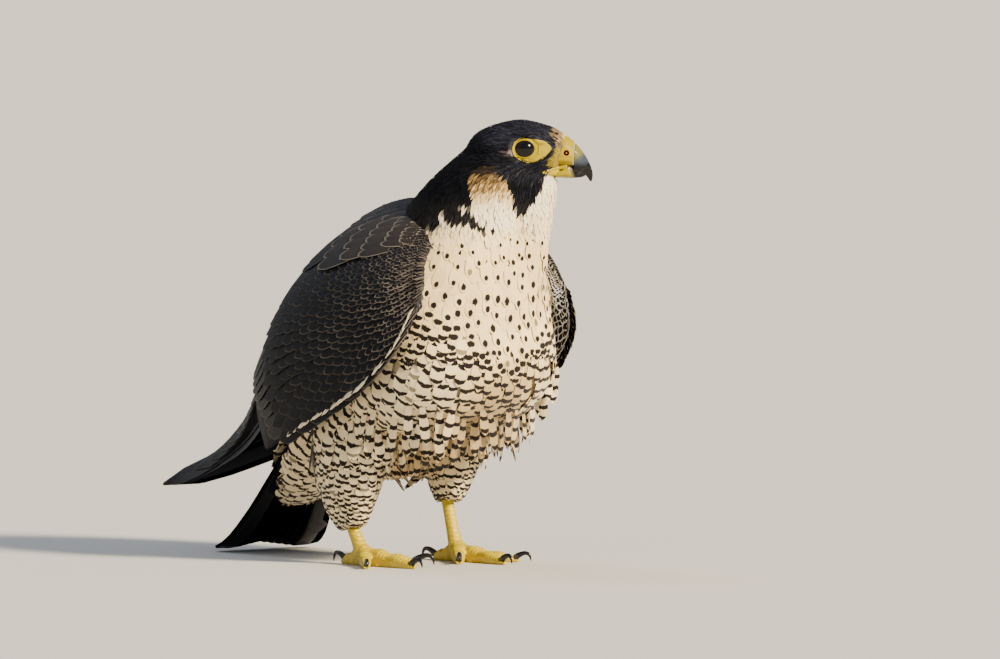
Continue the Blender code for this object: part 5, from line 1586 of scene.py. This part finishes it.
class FALCON_OT_face(bpy.types.Operator):
    """Make eyes, eye rings, cere and bill"""

    bl_idname = "falcon.face"
    bl_label = "Eyes and bill"

    def execute(self, context):
        for side in SIDES:
            make_eye(side)
            bare_ring(side)
        upper_bill()
        lower_bill()
        waxy_cere()
        for side in SIDES:
            for name, line in GAPE_FOLDS.items():
                gape_fold(name, side, line)
        return {"FINISHED"}


class FALCON_OT_feet(bpy.types.Operator):
    """Make the scaled feet and the claws"""

    bl_idname = "falcon.feet"
    bl_label = "Feet"

    def execute(self, context):
        for side in SIDES:
            make_foot(side)
            make_claws(side)
        return {"FINISHED"}


class FALCON_OT_head_coat(bpy.types.Operator):
    """Cover head and neck"""

    bl_idname = "falcon.head_coat"
    bl_label = "Head feathers"

    def execute(self, context):
        rng = np.random.default_rng(11)
        for part, rows, long, wide in (
            ("face", 4, 5.2, 0.55),
            ("nape", 4, 5.0, 0.6),
            ("neck", 5, 4.6, 0.66),
        ):
            roots, index = scattered(rng, part)
            coat_piece("coat_" + part, roots, index, rng, "head_feather", rows=rows,
                       columns=3, long=long, wide=wide, tip=0.15, soft=0.72)
        return {"FINISHED"}


class FALCON_OT_breast_coat(bpy.types.Operator):
    """Cover the breast"""

    bl_idname = "falcon.breast_coat"
    bl_label = "Breast feathers"

    def execute(self, context):
        rng = np.random.default_rng(12)
        roots, index = scattered(rng, "breast")
        coat_piece("coat_breast", roots, index, rng, "breast_feather", rows=7, long=4.4,
                   wide=0.95, gap=6.6)
        return {"FINISHED"}


class FALCON_OT_belly_coat(bpy.types.Operator):
    """Cover belly and flanks"""

    bl_idname = "falcon.belly_coat"
    bl_label = "Belly feathers"

    def execute(self, context):
        rng = np.random.default_rng(13)
        roots, index = scattered(rng, "belly")
        coat_piece("coat_belly", roots, index, rng, "breast_feather", long=3.1, wide=0.7,
                   gap=4.0)
        return {"FINISHED"}


class FALCON_OT_leg_coat(bpy.types.Operator):
    """Cover thighs and the underside of the tail's root"""

    bl_idname = "falcon.leg_coat"
    bl_label = "Thigh feathers"

    def execute(self, context):
        rng = np.random.default_rng(14)
        roots, index = scattered(rng, "thighs")
        coat_piece("coat_thighs", roots, index, rng, "breast_feather", rows=6, long=3.6,
                   wide=0.85)
        roots, index = scattered(rng, "under_tail")
        coat_piece("coat_under_tail", roots, index, rng, "breast_feather", long=3.6)
        return {"FINISHED"}


class FALCON_OT_plumes(bpy.types.Operator):
    """Add the loose feathers over the thighs"""

    bl_idname = "falcon.plumes"
    bl_label = "Flank plumes"

    def execute(self, context):
        make_plumes()
        return {"FINISHED"}


class FALCON_OT_wings(bpy.types.Operator):
    """Make both folded wings"""

    bl_idname = "falcon.wings"
    bl_label = "Wings"

    def execute(self, context):
        for side, seed in (("right", 31), ("left", 32)):
            rng = np.random.default_rng(seed)
            flight_feathers(side, rng)
            wing_coverts(side, rng)
            wing_edge(side, rng)
            wing_core(side)
        return {"FINISHED"}


class FALCON_OT_mantle(bpy.types.Operator):
    """Cover the back between the wings"""

    bl_idname = "falcon.mantle"
    bl_label = "Mantle"

    def execute(self, context):
        make_mantle()
        return {"FINISHED"}


class FALCON_OT_tail(bpy.types.Operator):
    """Make the tail and its upper coverts"""

    bl_idname = "falcon.tail"
    bl_label = "Tail"

    def execute(self, context):
        make_tail()
        return {"FINISHED"}


class FALCON_OT_stage(bpy.types.Operator):
    """Add the floor, the lights and the camera"""

    bl_idname = "falcon.stage"
    bl_label = "Stage"

    def execute(self, context):
        scene = context.scene
        sizes = scene.falcon_sizes
        bpy.ops.object.select_all(action="DESELECT")
        bpy.ops.mesh.primitive_grid_add(x_subdivisions=2, y_subdivisions=2, size=400.0, location=(0, 0, 0))
        floor = context.object
        floor.name = "studio_floor"
        # A matt floor: one even pale tone, with clouds about 0.3 m across that are hardly seen.
        made, tree, shader = new_material("matt_floor")
        place = add(tree, "TexCoord", out="Object")
        cloud = add(tree, "TexNoise", {"Vector": place, "Scale": 3.0, "Detail": 4.0})
        pale = colour("floor")
        tone = add(tree, "Mix", {0: cloud, 6: (*pale * 0.96, 1.0), 7: (*pale, 1.0)}, out=2, data_type="RGBA")
        tree.links.new(tone, shader.inputs["Base Color"])
        shader.inputs["Roughness"].default_value = 0.9
        floor.data.materials.append(made)

        world = bpy.data.worlds.new("studio")
        scene.world = world
        world.use_nodes = True
        background = world.node_tree.nodes["Background"]
        background.inputs["Color"].default_value = (*colour("sky"), 1.0)
        background.inputs["Strength"].default_value = sizes.fill_power
        # The low warm key comes from the bird's front, right of the camera, and a faint cool rim from
        # behind it.
        for name, power, shade, spread, azimuth, height in (
            ("key", sizes.key_power, "key_light", 9.0, CAMERA_AZIMUTH + 47.0, 28.0),
            ("rim", sizes.key_power * 0.06, "rim_light", 25.0, CAMERA_AZIMUTH - 140.0, 45.0),
        ):
            bpy.ops.object.light_add(type="SUN")
            lamp = context.object
            lamp.name = name
            lamp.data.energy = power
            lamp.data.color = colour(shade)
            lamp.data.angle = math.radians(spread)
            a, e = math.radians(azimuth), math.radians(height)
            way = Vector((math.sin(a) * math.cos(e), -math.cos(a) * math.cos(e), math.sin(e)))
            lamp.rotation_euler = way.to_track_quat("Z", "Y").to_euler()

        azimuth, rise = math.radians(CAMERA_AZIMUTH), math.radians(CAMERA_RISE)
        right = Vector((math.cos(azimuth), math.sin(azimuth), 0.0))
        ahead = Vector((-math.sin(azimuth) * math.cos(rise), math.cos(azimuth) * math.cos(rise),
                        -math.sin(rise)))
        turn = Matrix((right, right.cross(ahead), -ahead)).transposed().to_4x4()
        middle = right * FRAME_MIDDLE[0] + Vector((0, 0, FRAME_MIDDLE[1])) + Vector(SHIFT) * MM
        bpy.ops.object.camera_add()
        camera = context.object
        camera.matrix_world = Matrix.Translation(middle - ahead * CAMERA_DISTANCE) @ turn
        camera.data.sensor_width = SENSOR_WIDTH
        camera.data.lens = SENSOR_WIDTH * CAMERA_DISTANCE / FRAME_WIDTH
        camera.data.clip_start, camera.data.clip_end = 0.1, 500.0
        scene.camera = camera
        return {"FINISHED"}


OPERATORS = (
    FALCON_OT_finishes, FALCON_OT_skin, FALCON_OT_face, FALCON_OT_feet, FALCON_OT_head_coat,
    FALCON_OT_breast_coat, FALCON_OT_belly_coat, FALCON_OT_leg_coat, FALCON_OT_plumes, FALCON_OT_wings,
    FALCON_OT_mantle, FALCON_OT_tail, FALCON_OT_stage,
)


class FALCON_PT_panel(bpy.types.Panel):
    """The falcon's pieces and settings"""

    bl_idname = "FALCON_PT_panel"
    bl_label = bl_info["name"]
    bl_space_type = "VIEW_3D"
    bl_region_type = "UI"
    bl_category = "Falcon"

    def draw(self, context):
        for group in (context.scene.falcon_colours, context.scene.falcon_sizes):
            for key in group.__annotations__:
                self.layout.prop(group, key)
        for operator in OPERATORS:
            self.layout.operator(operator.bl_idname)


CLASSES = (FalconColours, FalconSizes, *OPERATORS, FALCON_PT_panel)


def register():
    """Registers the classes and hangs the settings on the scene."""
    for item in CLASSES:
        bpy.utils.register_class(item)
    bpy.types.Scene.falcon_colours = bpy.props.PointerProperty(type=FalconColours)
    bpy.types.Scene.falcon_sizes = bpy.props.PointerProperty(type=FalconSizes)


def unregister():
    """Takes the settings and the classes away again."""
    del bpy.types.Scene.falcon_colours
    del bpy.types.Scene.falcon_sizes
    for item in reversed(CLASSES):
        bpy.utils.unregister_class(item)


def main():
    """Makes every piece and the stage in order."""
    register()
    bpy.ops.object.select_all(action="DESELECT")
    for operator in OPERATORS:
        getattr(bpy.ops.falcon, operator.bl_idname.split(".")[1])()


if __name__ == "__main__":
    main()
